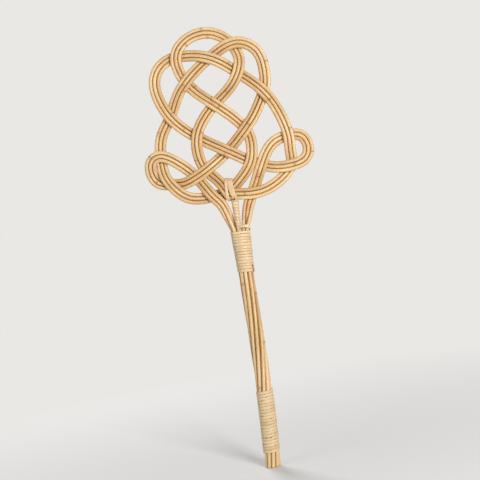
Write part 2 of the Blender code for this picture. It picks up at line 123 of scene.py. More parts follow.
def smooth_line(points: Sequence[Sequence[float]], samples: int) -> Array:
    """A smooth line through points: a cubic whose knots lie the square root of the chord apart.

    Args:
        points: The places that the line passes.
        samples: How many samples lie between each two places.

    Returns:
        The samples, one row each.
    """
    values = np.array(points, dtype=float)
    chords = np.linalg.norm(np.diff(values, axis=0), axis=1)
    knots = np.concatenate([[0], np.cumsum(np.sqrt(chords))])
    places = np.arange((len(values) - 1) * samples + 1) / samples
    return cubic_through(knots, values, np.interp(places, np.arange(len(knots)), knots))


def run_length(line: Array) -> Array:
    """Distance along a line at each of its points."""
    return np.concatenate([[0], np.cumsum(np.linalg.norm(np.diff(line, axis=0), axis=1))])


def evenly(line: Array, step: float) -> Array:
    """The same curve read at equal distances, by a cubic through its points.

    Args:
        line: Its points; one that lies on the point before it is left out.
        step: About how long each distance is.

    Returns:
        The new points.
    """
    along = run_length(line)
    kept = np.concatenate([[True], np.diff(along) > step * SAME_PLACE_SHARE])
    marks = np.linspace(0, along[-1], max(2, round(along[-1] / step)) + 1)
    return cubic_through(along[kept], line[kept], marks)


def smoothstep(part: Array) -> Array:
    """Eases from 0 to 1, level at both ends: three squares less two cubes."""
    part = np.clip(part, 0, 1)
    return part * part * (3 - 2 * part)


def soft_noise(at: Array, step: float, seed: int) -> Array:
    """Smooth noise from -1 to 1: seeded values a step apart, eased from one to the next.

    Args:
        at: Where it is read, from zero up.
        step: Distance between two of the values.
        seed: Which run of values it is.

    Returns:
        The noise at each place.
    """
    values = np.random.default_rng(seed).uniform(-1, 1, int(np.max(at) / step) + 3)
    cell = np.floor(at / step).astype(int)
    part = smoothstep(at / step - cell)
    return values[cell] * (1 - part) + values[cell + 1] * part


def softened(values: Array, count: int) -> Array:
    """A running mean over an odd count of values, weighted by a raised cosine, the ends held."""
    weights = np.hanning(count + 2)[1:-1]
    return np.convolve(np.pad(values, count // 2, mode="edge"), weights / weights.sum(), mode="valid")


def unit(rows: Array) -> Array:
    """Each row scaled to a length of one."""
    return rows / np.linalg.norm(rows, axis=-1, keepdims=True)


def headings(line: Array) -> Array:
    """The direction in which a line runs at each of its points."""
    return unit(np.gradient(line, axis=0))


def around(angles: Array) -> Array:
    """Level directions at angles round the upright: cosine, sine and no rise."""
    return np.stack([np.cos(angles), np.sin(angles), np.zeros_like(angles)], axis=1)


@dataclass(frozen=True)
class Photograph:
    """How a place in the picture maps to the beater's own plane.

    A pixel's offset from the butt is turned by the lean and scaled by the pixel's size.
    """

    pixel_size: float = 0.00157
    butt_pixel: tuple[float, float] = (274.4, 465.4)
    lean: float = math.radians(8.27)
    side: int = 480

    def place(self, pixel: Sequence[float], middle: float) -> tuple[float, float]:
        """A pixel as x and z in the beater's plane.

        Args:
            pixel: Across and down in the picture.
            middle: The handle's middle, as x.

        Returns:
            The place as x and z.
        """
        across, down = (self.pixel_size * (at - butt) for at, butt in zip(pixel, self.butt_pixel))
        cosine, sine = math.cos(self.lean), math.sin(self.lean)
        return middle + across * cosine - down * sine, -across * sine - down * cosine


@dataclass
class Tube:
    """A mesh grid that follows a path, with what the finishes read from it.

    Attributes:
        grid: Points, rings along by points round by three.
        grain: Across, out and along the cane at each point, for the grain.
        ring_reach: Signed distance along the cane to its nearest growth ring.
        stain: How red-brown each ring of points is, from 0 to 1.
        tone: How much darker or paler each ring of points is, about 0.
        free_side: Sign of the across side on which no other cane lies, or 0.
    """

    grid: Array
    grain: Array
    ring_reach: Array
    stain: Array
    tone: Array
    free_side: Array

    def closed(self) -> "Tube":
        """The same tube with a middle point at each end, so that fans of faces close it.

        Returns:
            The tube itself.
        """
        for label in ("grid", "grain"):
            rows = getattr(self, label)
            ends = rows[[0, -1]].mean(axis=1, keepdims=True).repeat(rows.shape[1], axis=1)
            setattr(self, label, np.concatenate([ends[:1], rows, ends[1:]]))
        for label in RING_VALUES:
            setattr(self, label, np.pad(getattr(self, label), 1, mode="edge"))
        return self

    def mesh(self, name: str) -> bpy.types.Mesh:
        """A closed mesh: quads between rings and a fan at each end.

        Ring i and ring i + 1 share faces whose corners run so that the normals point outwards;
        the first and the last ring are one point each.

        Args:
            name: The mesh's name.

        Returns:
            The mesh, smooth, with the attributes that the finishes read.
        """
        rings, sides = self.grid.shape[:2]
        index = np.arange(rings * sides).reshape(rings, sides)
        index[[0, -1]] = index[[0, -1], :1]
        ahead = np.roll(index, -1, axis=1)
        body = np.stack([index[1:-2], index[2:-1], ahead[2:-1], ahead[1:-2]], axis=-1).reshape(-1, 4)
        foot = np.stack([index[0], index[1], ahead[1]], axis=-1)
        head = np.stack([index[-1], ahead[-2], index[-2]], axis=-1)
        used, corners = np.unique(np.concatenate([body.ravel(), foot.ravel(), head.ravel()]),
                                  return_inverse=True)
        sizes = np.repeat([4, 3], [len(body), 2 * sides])
        mesh = bpy.data.meshes.new(name)
        mesh.vertices.add(len(used))
        mesh.vertices.foreach_set("co", self.grid.reshape(-1, 3)[used].ravel())
        mesh.loops.add(len(corners))
        mesh.loops.foreach_set("vertex_index", corners.ravel())
        mesh.polygons.add(len(sizes))
        mesh.polygons.foreach_set("loop_start", np.cumsum(sizes) - sizes)
        grain = mesh.attributes.new("grain", "FLOAT_VECTOR", "POINT")
        grain.data.foreach_set("vector", self.grain.reshape(-1, 3)[used].ravel())
        for label in RING_VALUES:
            spread = np.repeat(getattr(self, label), sides)[used]
            mesh.attributes.new(label, "FLOAT", "POINT").data.foreach_set("value", spread)
        mesh.update(calc_edges=True)
        mesh.shade_smooth()
        mesh.validate()
        return mesh


def add_piece(name: str, tube: Tube, material: Material, nodes: Iterable[str] = ()) -> None:
    """Puts a tube into the scene, riding on the one body and standing for its CAD nodes.

    Args:
        name: The piece's name.
        tube: Its closed grid.
        material: Its finish.
        nodes: CAD nodes that it stands for.
    """
    mesh = tube.mesh(name)
    mesh.materials.append(material)
    piece = bpy.data.objects.new(name, mesh)
    bpy.context.scene.collection.objects.link(piece)
    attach(piece, "root")
    if nodes:
        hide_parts(*nodes)
    log.info("%s: %d faces", name, len(mesh.polygons))


@dataclass(frozen=True)
class Pattern:
    """Noise that is stretched along the grain, and the band of it that shows.

    Attributes:
        across: How fast it changes across the cane, in turns of the noise a metre.
        along: How fast it changes along the cane.
        detail: How many finer layers it has.
        low: The noise at which nothing shows.
        high: The noise at which the most shows.
        most: How much shows there.
    """

    across: float
    along: float
    detail: float
    low: float
    high: float
    most: float = 1.0


class NodeTree:
    """A short way to write the nodes and links of a material or of the sky."""

    def __init__(self, owner: bpy.types.ID) -> None:
        """Empties the node tree of a new material or world.

        Args:
            owner: The material or world.
        """
        owner.use_nodes = True
        self.owner = owner
        self.nodes = owner.node_tree.nodes
        self.links = owner.node_tree.links
        self.nodes.clear()

    def add(self, kind: str, inputs: Optional[dict] = None, **settings: object) -> bpy.types.Node:
        """Adds a node, sets it up, and sets or links its inputs.

        Args:
            kind: The node's type name, without its ShaderNode prefix.
            inputs: A value or an output socket for each input, by its name or number.
            settings: Properties of the node.

        Returns:
            The node.
        """
        node = self.nodes.new("ShaderNode" + kind)
        for key, value in settings.items():
            setattr(node, key, value)
        for key, value in (inputs or {}).items():
            if isinstance(value, Socket):
                self.links.new(value, node.inputs[key])
            else:
                node.inputs[key].default_value = value
        return node

    def math(self, operation: str, first: object, second: object = 0.0) -> Socket:
        """One sum on two values, each a number or a socket."""
        return self.add("Math", {0: first, 1: second}, operation=operation).outputs[0]

    def attribute(self, name: str, output: str = "Fac") -> Socket:
        """A mesh attribute's output."""
        return self.add("Attribute", attribute_name=name).outputs[output]

    def length(self, vector: Socket) -> Socket:
        """How long a vector is."""
        return self.add("VectorMath", {0: vector}, operation="LENGTH").outputs["Value"]

    def stretched(self, vector: Socket, factors: Point) -> Socket:
        """A vector scaled axis by axis."""
        return self.add("Mapping", {"Vector": vector, "Scale": factors}).outputs[0]

    def noise(self, grain: Socket, pattern: Pattern) -> Socket:
        """A pattern's noise at a place of the grain, from 0 to 1."""
        at = self.stretched(grain, (pattern.across, pattern.across, pattern.along))
        return self.add("TexNoise", {"Vector": at, "Scale": 1.0, "Detail": pattern.detail}).outputs[0]

    def ramp(self, value: Socket, low: float, high: float, most: float = 1.0) -> Socket:
        """Reads a value from 0 at the low end to the most at the high end, clamped."""
        ends = {"Value": value, "From Min": low, "From Max": high, "To Max": most}
        return self.add("MapRange", ends, clamp=True).outputs[0]

    def shown(self, noise: Socket, pattern: Pattern) -> Socket:
        """How much of a pattern shows where its noise has a value."""
        return self.ramp(noise, pattern.low, pattern.high, pattern.most)

    def blend(self, share: Socket, first: object, second: object) -> Socket:
        """Mixes two colours, the share being how much of the second shows."""
        mixed = {0: share, 6: first, 7: second}
        return self.add("Mix", mixed, data_type="RGBA", clamp_result=True).outputs[2]

    def seen(self) -> Socket:
        """1 for rays from the camera, off gloss or through glass, and 0 for light.

        Returns:
            The socket.
        """
        path = self.add("LightPath").outputs
        gloss = self.math("MAXIMUM", path["Is Glossy Ray"], path["Is Transmission Ray"])
        return self.math("MAXIMUM", path["Is Camera Ray"], gloss)


@dataclass(frozen=True)
class Sheen:
    """How a cane's surface takes the light.

    Attributes:
        least_roughness: Roughness of the smoothest fibres.
        roughness_range: How much rougher the dullest fibres are.
        relief: How strongly the fibres stand out.
        relief_depth: How far they stand out.
        gloss: Strength of the clear reflection.
        scatter: Share of the light that goes into the cane and comes out beside.
        scatter_depth: How far it goes.
    """

    least_roughness: float
    roughness_range: float
    relief: float
    relief_depth: float
    gloss: float
    scatter: float
    scatter_depth: float

    def close(self, tree: NodeTree, colour: Socket, fibre: Socket, height: Socket) -> Material:
        """Ends a material with its relief, its roughness and its shader.

        Args:
            tree: The material's nodes.
            colour: Its colour.
            fibre: Its fibres, which its roughness follows.
            height: What stands out of its surface.

        Returns:
            The material.
        """
        bump = tree.add("Bump", {
            "Height": height, "Strength": self.relief, "Distance": self.relief_depth})
        rough = tree.math("MULTIPLY", fibre, self.roughness_range)
        shader = tree.add("BsdfPrincipled", {
            "Base Color": colour, "Roughness": tree.math("ADD", rough, self.least_roughness),
            "Normal": bump.outputs[0], "Specular IOR Level": self.gloss,
            "Subsurface Weight": self.scatter, "Subsurface Scale": self.scatter_depth})
        tree.add("OutputMaterial", {"Surface": shader.outputs[0]})
        return tree.owner


@dataclass(frozen=True)
class PeeledRattan:
    """Whole peeled cane: pale straw, long fibres, thin growth rings, a soft dry sheen."""

    straw: Colour = (0.67, 0.445, 0.205, 1)
    honey: Colour = (0.50, 0.275, 0.095, 1)
    pale: Colour = (0.80, 0.60, 0.33, 1)
    ring: Colour = (0.24, 0.115, 0.04, 1)
    blush: Colour = (0.56, 0.24, 0.12, 1)
    # Painted shade: the deep brown that stands in for the shadow between touching canes.
    groove: Colour = (0.20, 0.090, 0.020, 1)
    pith: Colour = (0.62, 0.43, 0.22, 1)
    pore: Colour = (0.10, 0.05, 0.02, 1)
    fibres: Pattern = Pattern(2600, 26, 3, 0.50, 0.78)
    clouds: Pattern = Pattern(150, 24, 3, 0.35, 0.72)
    patches: Pattern = Pattern(420, 160, 4, 0.60, 0.82, 0.45)
    warmth: Pattern = Pattern(110, 11, 2, 0.52, 0.78, 0.40)
    pores: Pattern = Pattern(3600, 0, 1, 0.52, 0.62)
    sheen: Sheen = Sheen(0.29, 0.22, 0.55, 0.00009, 0.42, 0.06, 0.004)
    radius: float = 0.0029
    flank_share: float = 0.62
    # How strong the painted shade on every flank is.
    rim_strength: float = 0.45
    # How deep the painted shade between canes is, swinging with the clouds and the tone.
    groove_contrast: float = 1.3
    groove_ease: float = 0.10
    cut_shares: tuple[float, float] = (0.96, 0.90)
    ring_reaches: tuple[float, float] = (0.00096, 0.000192)
    ring_strength: float = 0.8
    ring_depth: float = 0.9
    ring_wobble: float = 0.0016
    halo_reach: float = 0.0045
    halo_strength: float = 0.55

    def material(self) -> Material:
        """The finish: streaks, stains and slow tones, a line at each ring, painted shade and cut ends.

        Painted shade darkens a cane's flank where it turns to its neighbour, less so where the cane is
        pale, and a lighter painted shade darkens each flank towards its edge.

        Returns:
            The material.
        """
        tree = NodeTree(bpy.data.materials.new("peeled_rattan"))
        grain, tone = tree.attribute("grain", "Vector"), tree.attribute("tone")
        fibre, cloud, patch, warm, pore = (
            tree.noise(grain, pattern)
            for pattern in (self.fibres, self.clouds, self.patches, self.warmth, self.pores))
        colour = tree.blend(tree.shown(cloud, self.clouds), self.straw, self.pale)
        colour = tree.blend(tree.shown(fibre, self.fibres), colour, self.honey)
        colour = tree.blend(tree.shown(patch, self.patches), colour, self.honey)
        colour = tree.blend(tree.ramp(tone, 0.0, 1.0), colour, self.honey)
        colour = tree.blend(tree.ramp(tone, 0.0, -1.0), colour, self.pale)
        colour = tree.blend(tree.shown(warm, self.warmth), colour, self.blush)
        colour = tree.blend(tree.attribute("stain"), colour, self.blush)
        wobble = tree.math("MULTIPLY", tree.math("SUBTRACT", patch, 0.5), self.ring_wobble)
        reach = tree.math("ABSOLUTE", tree.math("ADD", tree.attribute("ring_reach"), wobble))
        line = tree.ramp(reach, *self.ring_reaches)
        halo = tree.ramp(reach, self.halo_reach, 0.0, self.halo_strength)
        colour = tree.blend(halo, colour, self.honey)
        colour = tree.blend(tree.math("MULTIPLY", line, self.ring_strength), colour, self.ring)
        height = tree.math("SUBTRACT", fibre, tree.math("MULTIPLY", line, self.ring_depth))
        across = tree.add("SeparateXYZ", {"Vector": grain}).outputs[0]
        off_middle = tree.math("ABSOLUTE", across)
        free = tree.math("MAXIMUM", tree.math("MULTIPLY", across, tree.attribute("free_side")), 0.0)
        flank_start = self.radius * self.flank_share
        # Painted shade on every flank: the colour turns honey towards the cane's edges.
        edge_shade = tree.ramp(off_middle, flank_start, self.radius, self.rim_strength)
        colour = tree.blend(edge_shade, colour, self.honey)
        # Painted shade between canes: a flank that faces a neighbour darkens to deep brown towards its
        # edge; a free flank does not.
        groove_shade_mask = tree.ramp(tree.math("SUBTRACT", off_middle, free), flank_start, self.radius)
        depth = tree.math("ADD", tree.math("MULTIPLY", cloud, self.groove_contrast),
                          tree.math("SUBTRACT", tone, self.groove_ease))
        colour = tree.blend(tree.math("MULTIPLY", groove_shade_mask, depth), colour, self.groove)
        off_axis = tree.length(tree.stretched(grain, (1, 1, 0)))
        cut = tree.ramp(off_axis, *(self.radius * share for share in self.cut_shares))
        colour = tree.blend(cut, colour, tree.blend(tree.shown(pore, self.pores), self.pith, self.pore))
        return self.sheen.close(tree, colour, fibre, height)


@dataclass(frozen=True)
class SplitCane:
    """Strips of the cane's skin: paler and drier, with a fine grain."""

    skin: Colour = (0.66, 0.48, 0.265, 1)
    cream: Colour = (0.75, 0.58, 0.365, 1)
    dark: Colour = (0.48, 0.29, 0.12, 1)
    blush: Colour = (0.66, 0.38, 0.21, 1)
    fibres: Pattern = Pattern(3200, 40, 3, 0.52, 0.80, 0.7)
    clouds: Pattern = Pattern(260, 60, 3, 0.3, 0.7)
    sheen: Sheen = Sheen(0.34, 0.25, 0.5, 0.00008, 0.45, 0.05, 0.003)

    def material(self) -> Material:
        """The finish: clouds, fine streaks along the strip, and each strip's own tone and warmth.

        Returns:
            The material.
        """
        tree = NodeTree(bpy.data.materials.new("split_cane_skin"))
        grain = tree.attribute("grain", "Vector")
        fibre, cloud = (tree.noise(grain, pattern) for pattern in (self.fibres, self.clouds))
        colour = tree.blend(tree.shown(cloud, self.clouds), self.skin, self.cream)
        colour = tree.blend(tree.shown(fibre, self.fibres), colour, self.dark)
        colour = tree.blend(tree.ramp(tree.attribute("tone"), 0.0, 1.0), colour, self.dark)
        colour = tree.blend(tree.attribute("stain"), colour, self.blush)
        return self.sheen.close(tree, colour, fibre, fibre)


@dataclass
class Cane:
    """The sizes and habits that all canes share, and how a line becomes a cane.

    Each noise on a cane draws from a seed of its own, a round step from the cane's.
    """

    diameter: float = 0.0057
    gap: float = 0.0003
    crossing_gap: float = 0.001
    fullness: float = 0.00046
    sides: int = 20
    step: float = 0.0016
    end_round: float = 0.0004
    ring_rise: float = 0.00022
    ring_width: float = 0.0012
    waver: float = 0.00005
    waver_step: float = 0.045
    least_internode: float = 0.17
    most_internode: float = 0.34
    known_ring_share: float = 0.8
    stain_reach: float = 0.006
    stain_strength: float = 0.65
    tone_swings: Sequence[tuple[float, float]] = ((0.30, 0.09), (0.12, 0.02))
    # Painted shade: the tone is lower in the handle and higher in the head, with a fade between two
    # heights.
    worn: float = -0.36
    aged: float = 0.26
    worn_top: float = 0.33
    worn_fade: float = 0.12
    bundle_top: float = 0.34
    off_middle: float = 1e-6

    @property
    def radius(self) -> float:
        """Radius of the CAD cane."""
        return self.diameter / 2

    @property
    def pitch(self) -> float:
        """Distance between two canes side by side."""
        return self.diameter + self.gap

    @property
    def layer(self) -> float:
        """Half the distance between a cane and one that it crosses."""
        return (self.diameter + self.crossing_gap) / 2

    def rings(self, length: float, known: Sequence[float], seed: int) -> Array:
        """Distances along a cane at which its growth rings lie.

        Args:
            length: The cane's length.
            known: Rings that the photograph shows.
            seed: Which cane it is.

        Returns:
            The known rings, and others in between where a stretch would be too long.
        """
        random = np.random.default_rng(seed)
        steps = random.uniform(self.least_internode, self.most_internode,
                               int(length / self.least_internode) + 2)
        others = np.cumsum(steps) - steps[0] * random.uniform(0, 1)
        apart = np.abs(others[:, None] - [*known, -math.inf]).min(axis=1)
        clear = apart > self.least_internode * self.known_ring_share
        return np.sort([*others[clear & (others < length) & (others > 0)], *known])

    def tones(self, run: Array, risen: Array, tone: float, seed: int) -> Array:
        """How dark a cane is along its run: its own tone, two slow swings, and painted shade that
        darkens the head.

        Args:
            run: Distance along it.
            risen: 0 in the handle, painted paler, to 1 in the head, painted darker as shade.
            tone: How much darker than the others it is.
            seed: Which cane it is.

        Returns:
            The tone at each place.
        """
        swings = sum(most * soft_noise(run, step, seed + 200 + 100 * turn)
                     for turn, (most, step) in enumerate(self.tone_swings))
        return tone + swings + self.worn + (self.aged - self.worn) * risen

    def tube(self, line: Array, seed: int, rings: Sequence[float] = (), stains: Sequence[float] = (),
             tone: float = 0.0, free_side: int = 0) -> Tube:
        """Carries a round profile along a line.

        A point is the line's point plus the radius times the cosine of its angle sideways and the
        sine of it towards the back. The radius swells at each growth ring by a bell curve, wavers
        slowly, and is drawn in at the cut ends. The grain's across direction is the one to the
        neighbours: sideways in the head, and round the bundle below the middle of the neck.

        Args:
            line: The cane's centre line.
            seed: Which cane it is.
            rings: Distances along it of the rings that the photograph shows.
            stains: Distances along it of the red-brown patches that the photograph shows.
            tone: How much darker than the others the cane is.
            free_side: Sign of the side on which no other cane lies in the head, or 0.

        Returns:
            The closed tube.
        """
        line = evenly(line, self.step)
        run = run_length(line)
        marks = self.rings(run[-1], rings, seed)
        reach = run - marks[np.argmin(np.abs(run[:, None] - marks), axis=1)]
        wavering = self.waver * soft_noise(run, self.waver_step, seed + 100)
        radius = self.radius + self.fullness / 2 + wavering
        radius += self.ring_rise * np.exp(-(reach / self.ring_width) ** 2)
        line, heading, run, reach, radius = (np.concatenate([rows[:1], rows, rows[-1:]])
                                             for rows in (line, headings(line), run, reach, radius))
        radius[[0, -1]] -= self.end_round
        line[1] += heading[0] * self.end_round
        line[-2] -= heading[-1] * self.end_round
        side = unit(np.cross(heading, (0, 1, 0)))
        profile = around(np.arange(self.sides) * 2 * math.pi / self.sides)
        out = profile[:, :1] * side[:, None] + profile[:, 1:2] * np.cross(side, heading)[:, None]
        out *= radius[:, None, None]
        from_middle = line * (1, 1, 0) + (0, self.off_middle, 0)
        facing = np.where(line[:, 2:] < self.bundle_top, from_middle, (0, 1, 0))
        beside = unit(np.cross(heading, facing))
        shift = np.random.default_rng(seed + 50).uniform(0, 9)
        grain = np.stack([(out * beside[:, None]).sum(axis=2),
                          (out * np.cross(beside, heading)[:, None]).sum(axis=2),
                          np.broadcast_to(run[:, None] + shift, out.shape[:2])], axis=-1)
        stain = np.exp(-((run[:, None] - [*stains, math.inf]) / self.stain_reach) ** 2).max(axis=1)
        # How far into the head a place is, for the painted shade there.
        risen = smoothstep((line[:, 2] - self.worn_top) / self.worn_fade)
        return Tube(line[:, None] + out, grain, reach, stain * self.stain_strength,
                    self.tones(run, risen, tone, seed), free_side * risen).closed()


@dataclass
class Handle:
    """The bundle of canes that the hand holds, from the butt to the top of the neck.

    Its seats are the canes' rings and angles in degrees; ends of the knot's canes are named by
    side and place in the band, and fillers by node. Drops are how far below the neck's top the
    fillers stop, and neck_top_shares where the ends leave it, in pitches from the centre cane.
    """

    cane: Cane
    butt_length: float = 0.022
    grip_length: float = 0.100
    bare_length: float = 0.184
    neck_length: float = 0.068
    butt_stagger: float = 0.0006
    twist: float = math.radians(150)
    outer_canes: int = 9
    inner_canes: int = 3
    steps: int = 60
    first_seed: int = 21
    core_seed: int = 30
    tone_swing: float = 0.25
    tone_turn: float = 2.4
    seats: dict[str, tuple[Ring, int]] = field(default_factory=lambda: {
        "left outer": (Ring.OUTER, 180), "left middle": (Ring.OUTER, -140),
        "left inner": (Ring.OUTER, 140), "right outer": (Ring.OUTER, -20),
        "right middle": (Ring.OUTER, 20), "right inner": (Ring.INNER, 0), "centre": (Ring.INNER, 240),
        "handle_cane_front_left": (Ring.OUTER, -100), "handle_cane_front_right": (Ring.OUTER, -60),
        "handle_cane_back_right": (Ring.OUTER, 60), "handle_cane_back": (Ring.OUTER, 100),
        "handle_cane_core": (Ring.INNER, 120)})
    drops: dict[str, float] = field(default_factory=lambda: {
        "handle_cane_front_left": 0.013, "handle_cane_front_right": 0.013,
        "handle_cane_back_right": 0.016, "handle_cane_back": 0.016, "handle_cane_core": 0.016})
    neck_top_shares: dict[str, tuple[float, float]] = field(default_factory=lambda: {
        "left outer": (-1.65, 0.45), "left middle": (-1.25, -0.50), "left inner": (-1.00, 1.30),
        "right outer": (2.15, -0.10), "right middle": (2.05, 0.95), "right inner": (1.20, 0.35)})

    @property
    def grip_top(self) -> float:
        """Height at which the grip's binding ends."""
        return self.butt_length + self.grip_length

    @property
    def neck_bottom(self) -> float:
        """Height at which the neck's binding starts."""
        return self.grip_top + self.bare_length

    @property
    def neck_top(self) -> float:
        """Height at which the neck's binding ends."""
        return self.neck_bottom + self.neck_length

    def ring_radius(self, ring: Ring) -> float:
        """Radius of a ring: inner canes touch each other, and each outer cane touches an inner one.

        Args:
            ring: Which ring.

        Returns:
            Distance from the bundle's middle to a cane's.
        """
        inner = self.cane.pitch / (2 * math.sin(math.pi / self.inner_canes))
        if ring is Ring.INNER:
            return inner
        half = math.pi / self.outer_canes
        return inner * math.cos(half) + math.sqrt(self.cane.pitch ** 2 - (inner * math.sin(half)) ** 2)

    def seat(self, name: str) -> Array:
        """A cane's place in the untwisted bundle, from the bundle's middle."""
        ring, degrees = self.seats[name]
        return self.ring_radius(ring) * around(np.radians([degrees]))[0, :2]

    @property
    def middle(self) -> Array:
        """The bundle's middle, from the centre cane."""
        return -self.seat("centre")

    def twisted(self, name: str) -> Array:
        """A cane's line up the handle: its seat turned about the centre cane, less and less upwards.

        Args:
            name: Its seat.

        Returns:
            The line, up to the neck's lower end.
        """
        x, y = self.seat(name) + self.middle
        heights = np.linspace(self.butt_stagger, self.neck_bottom, self.steps + 1)
        down = (self.neck_bottom - heights) / self.neck_bottom
        turn = -self.twist * down * down * (2 - down)
        cosine, sine = np.cos(turn), np.sin(turn)
        return np.stack([x * cosine - y * sine, x * sine + y * cosine, heights], axis=1)

    def neck_place(self, end: str) -> Array:
        """Where an end of the knot enters the neck binding from above."""
        return np.array(self.neck_top_shares[end]) * self.cane.pitch

    def knot_end(self, end: str) -> Array:
        """The line of a knot cane's end, from the butt up to just under the neck's top.

        Args:
            end: Its side and its place in the band.

        Returns:
            The line; in the neck its place eases from the bundle's to the one at the neck's top.
        """
        place = self.seat(end) + self.middle
        steps = np.arange(1, self.steps)[:, None] / self.steps
        spread = place + (self.neck_place(end) - place) * smoothstep(steps)
        neck = np.concatenate([spread, self.neck_bottom + self.neck_length * steps], axis=1)
        return np.concatenate([self.twisted(end), neck])

    def build(self, finish: Material, core: Array) -> Lines:
        """Makes the handle's own canes: the fillers, which stop in the neck, and the centre cane.

        Args:
            finish: The cane's material.
            core: The centre cane's line.

        Returns:
            The fillers' lines, by node.
        """
        lines = {}
        for seed, (name, drop) in enumerate(self.drops.items(), start=self.first_seed):
            line = self.twisted(name)
            lines[name] = np.concatenate([line, [[*line[-1, :2], self.neck_top - drop]]])
            tone = self.tone_swing * math.sin(seed * self.tone_turn)
            tube = self.cane.tube(lines[name], seed, tone=tone)
            add_piece(name + "_rattan", tube, finish, [name])
        tube = self.cane.tube(core, self.core_seed)
        add_piece("centre_cane_rattan", tube, finish, ["centre_cane"])
        return lines


@dataclass
class GrowthMarks:
    """Growth rings and red-brown patches where the photograph shows them."""

    photograph: Photograph
    middle: float
    near: float = 0.0045
    pixels: dict[MarkKind, Sequence[tuple[float, float]]] = field(default_factory=lambda: {
        MarkKind.RING: (
            (207.7, 36.6), (185.9, 44.7), (267.7, 59.6), (195.3, 86.8), (159.1, 132.5),
            (195.5, 160.6), (184.6, 128.0), (292.1, 127.4), (295.3, 164.4), (223.8, 156.8),
            (211.9, 97.0), (170.6, 114.7)),
        MarkKind.STAIN: (
            (227.0, 87.6), (259.5, 174.6), (211.3, 104.0), (248.0, 207.0), (246.0, 216.0),
            (245.0, 203.5), (244.2, 210.0), (243.3, 217.0))})

    def on(self, lines: Lines, kind: MarkKind) -> dict[str, list[float]]:
        """Gives each mark to the front cane at its place.

        Args:
            lines: Centre lines by cane.
            kind: Rings or stains.

        Returns:
            Distances along each cane.
        """
        found: dict[str, list[float]] = {name: [] for name in lines}
        for pixel in self.pixels[kind]:
            place = self.photograph.place(pixel, self.middle)
            nearest = []
            for name, line in lines.items():
                miss = np.linalg.norm(line[:, [0, 2]] - place, axis=1)
                depth = np.where(miss < self.near, line[:, 1] + miss, math.inf)
                at = np.argmin(depth)
                nearest.append((depth[at], name, run_length(line)[at]))
            depth, name, along = min(nearest)
            if depth < math.inf:
                found[name].append(along)
        return found


B, O, U = Level.BEND, Level.OVER, Level.UNDER


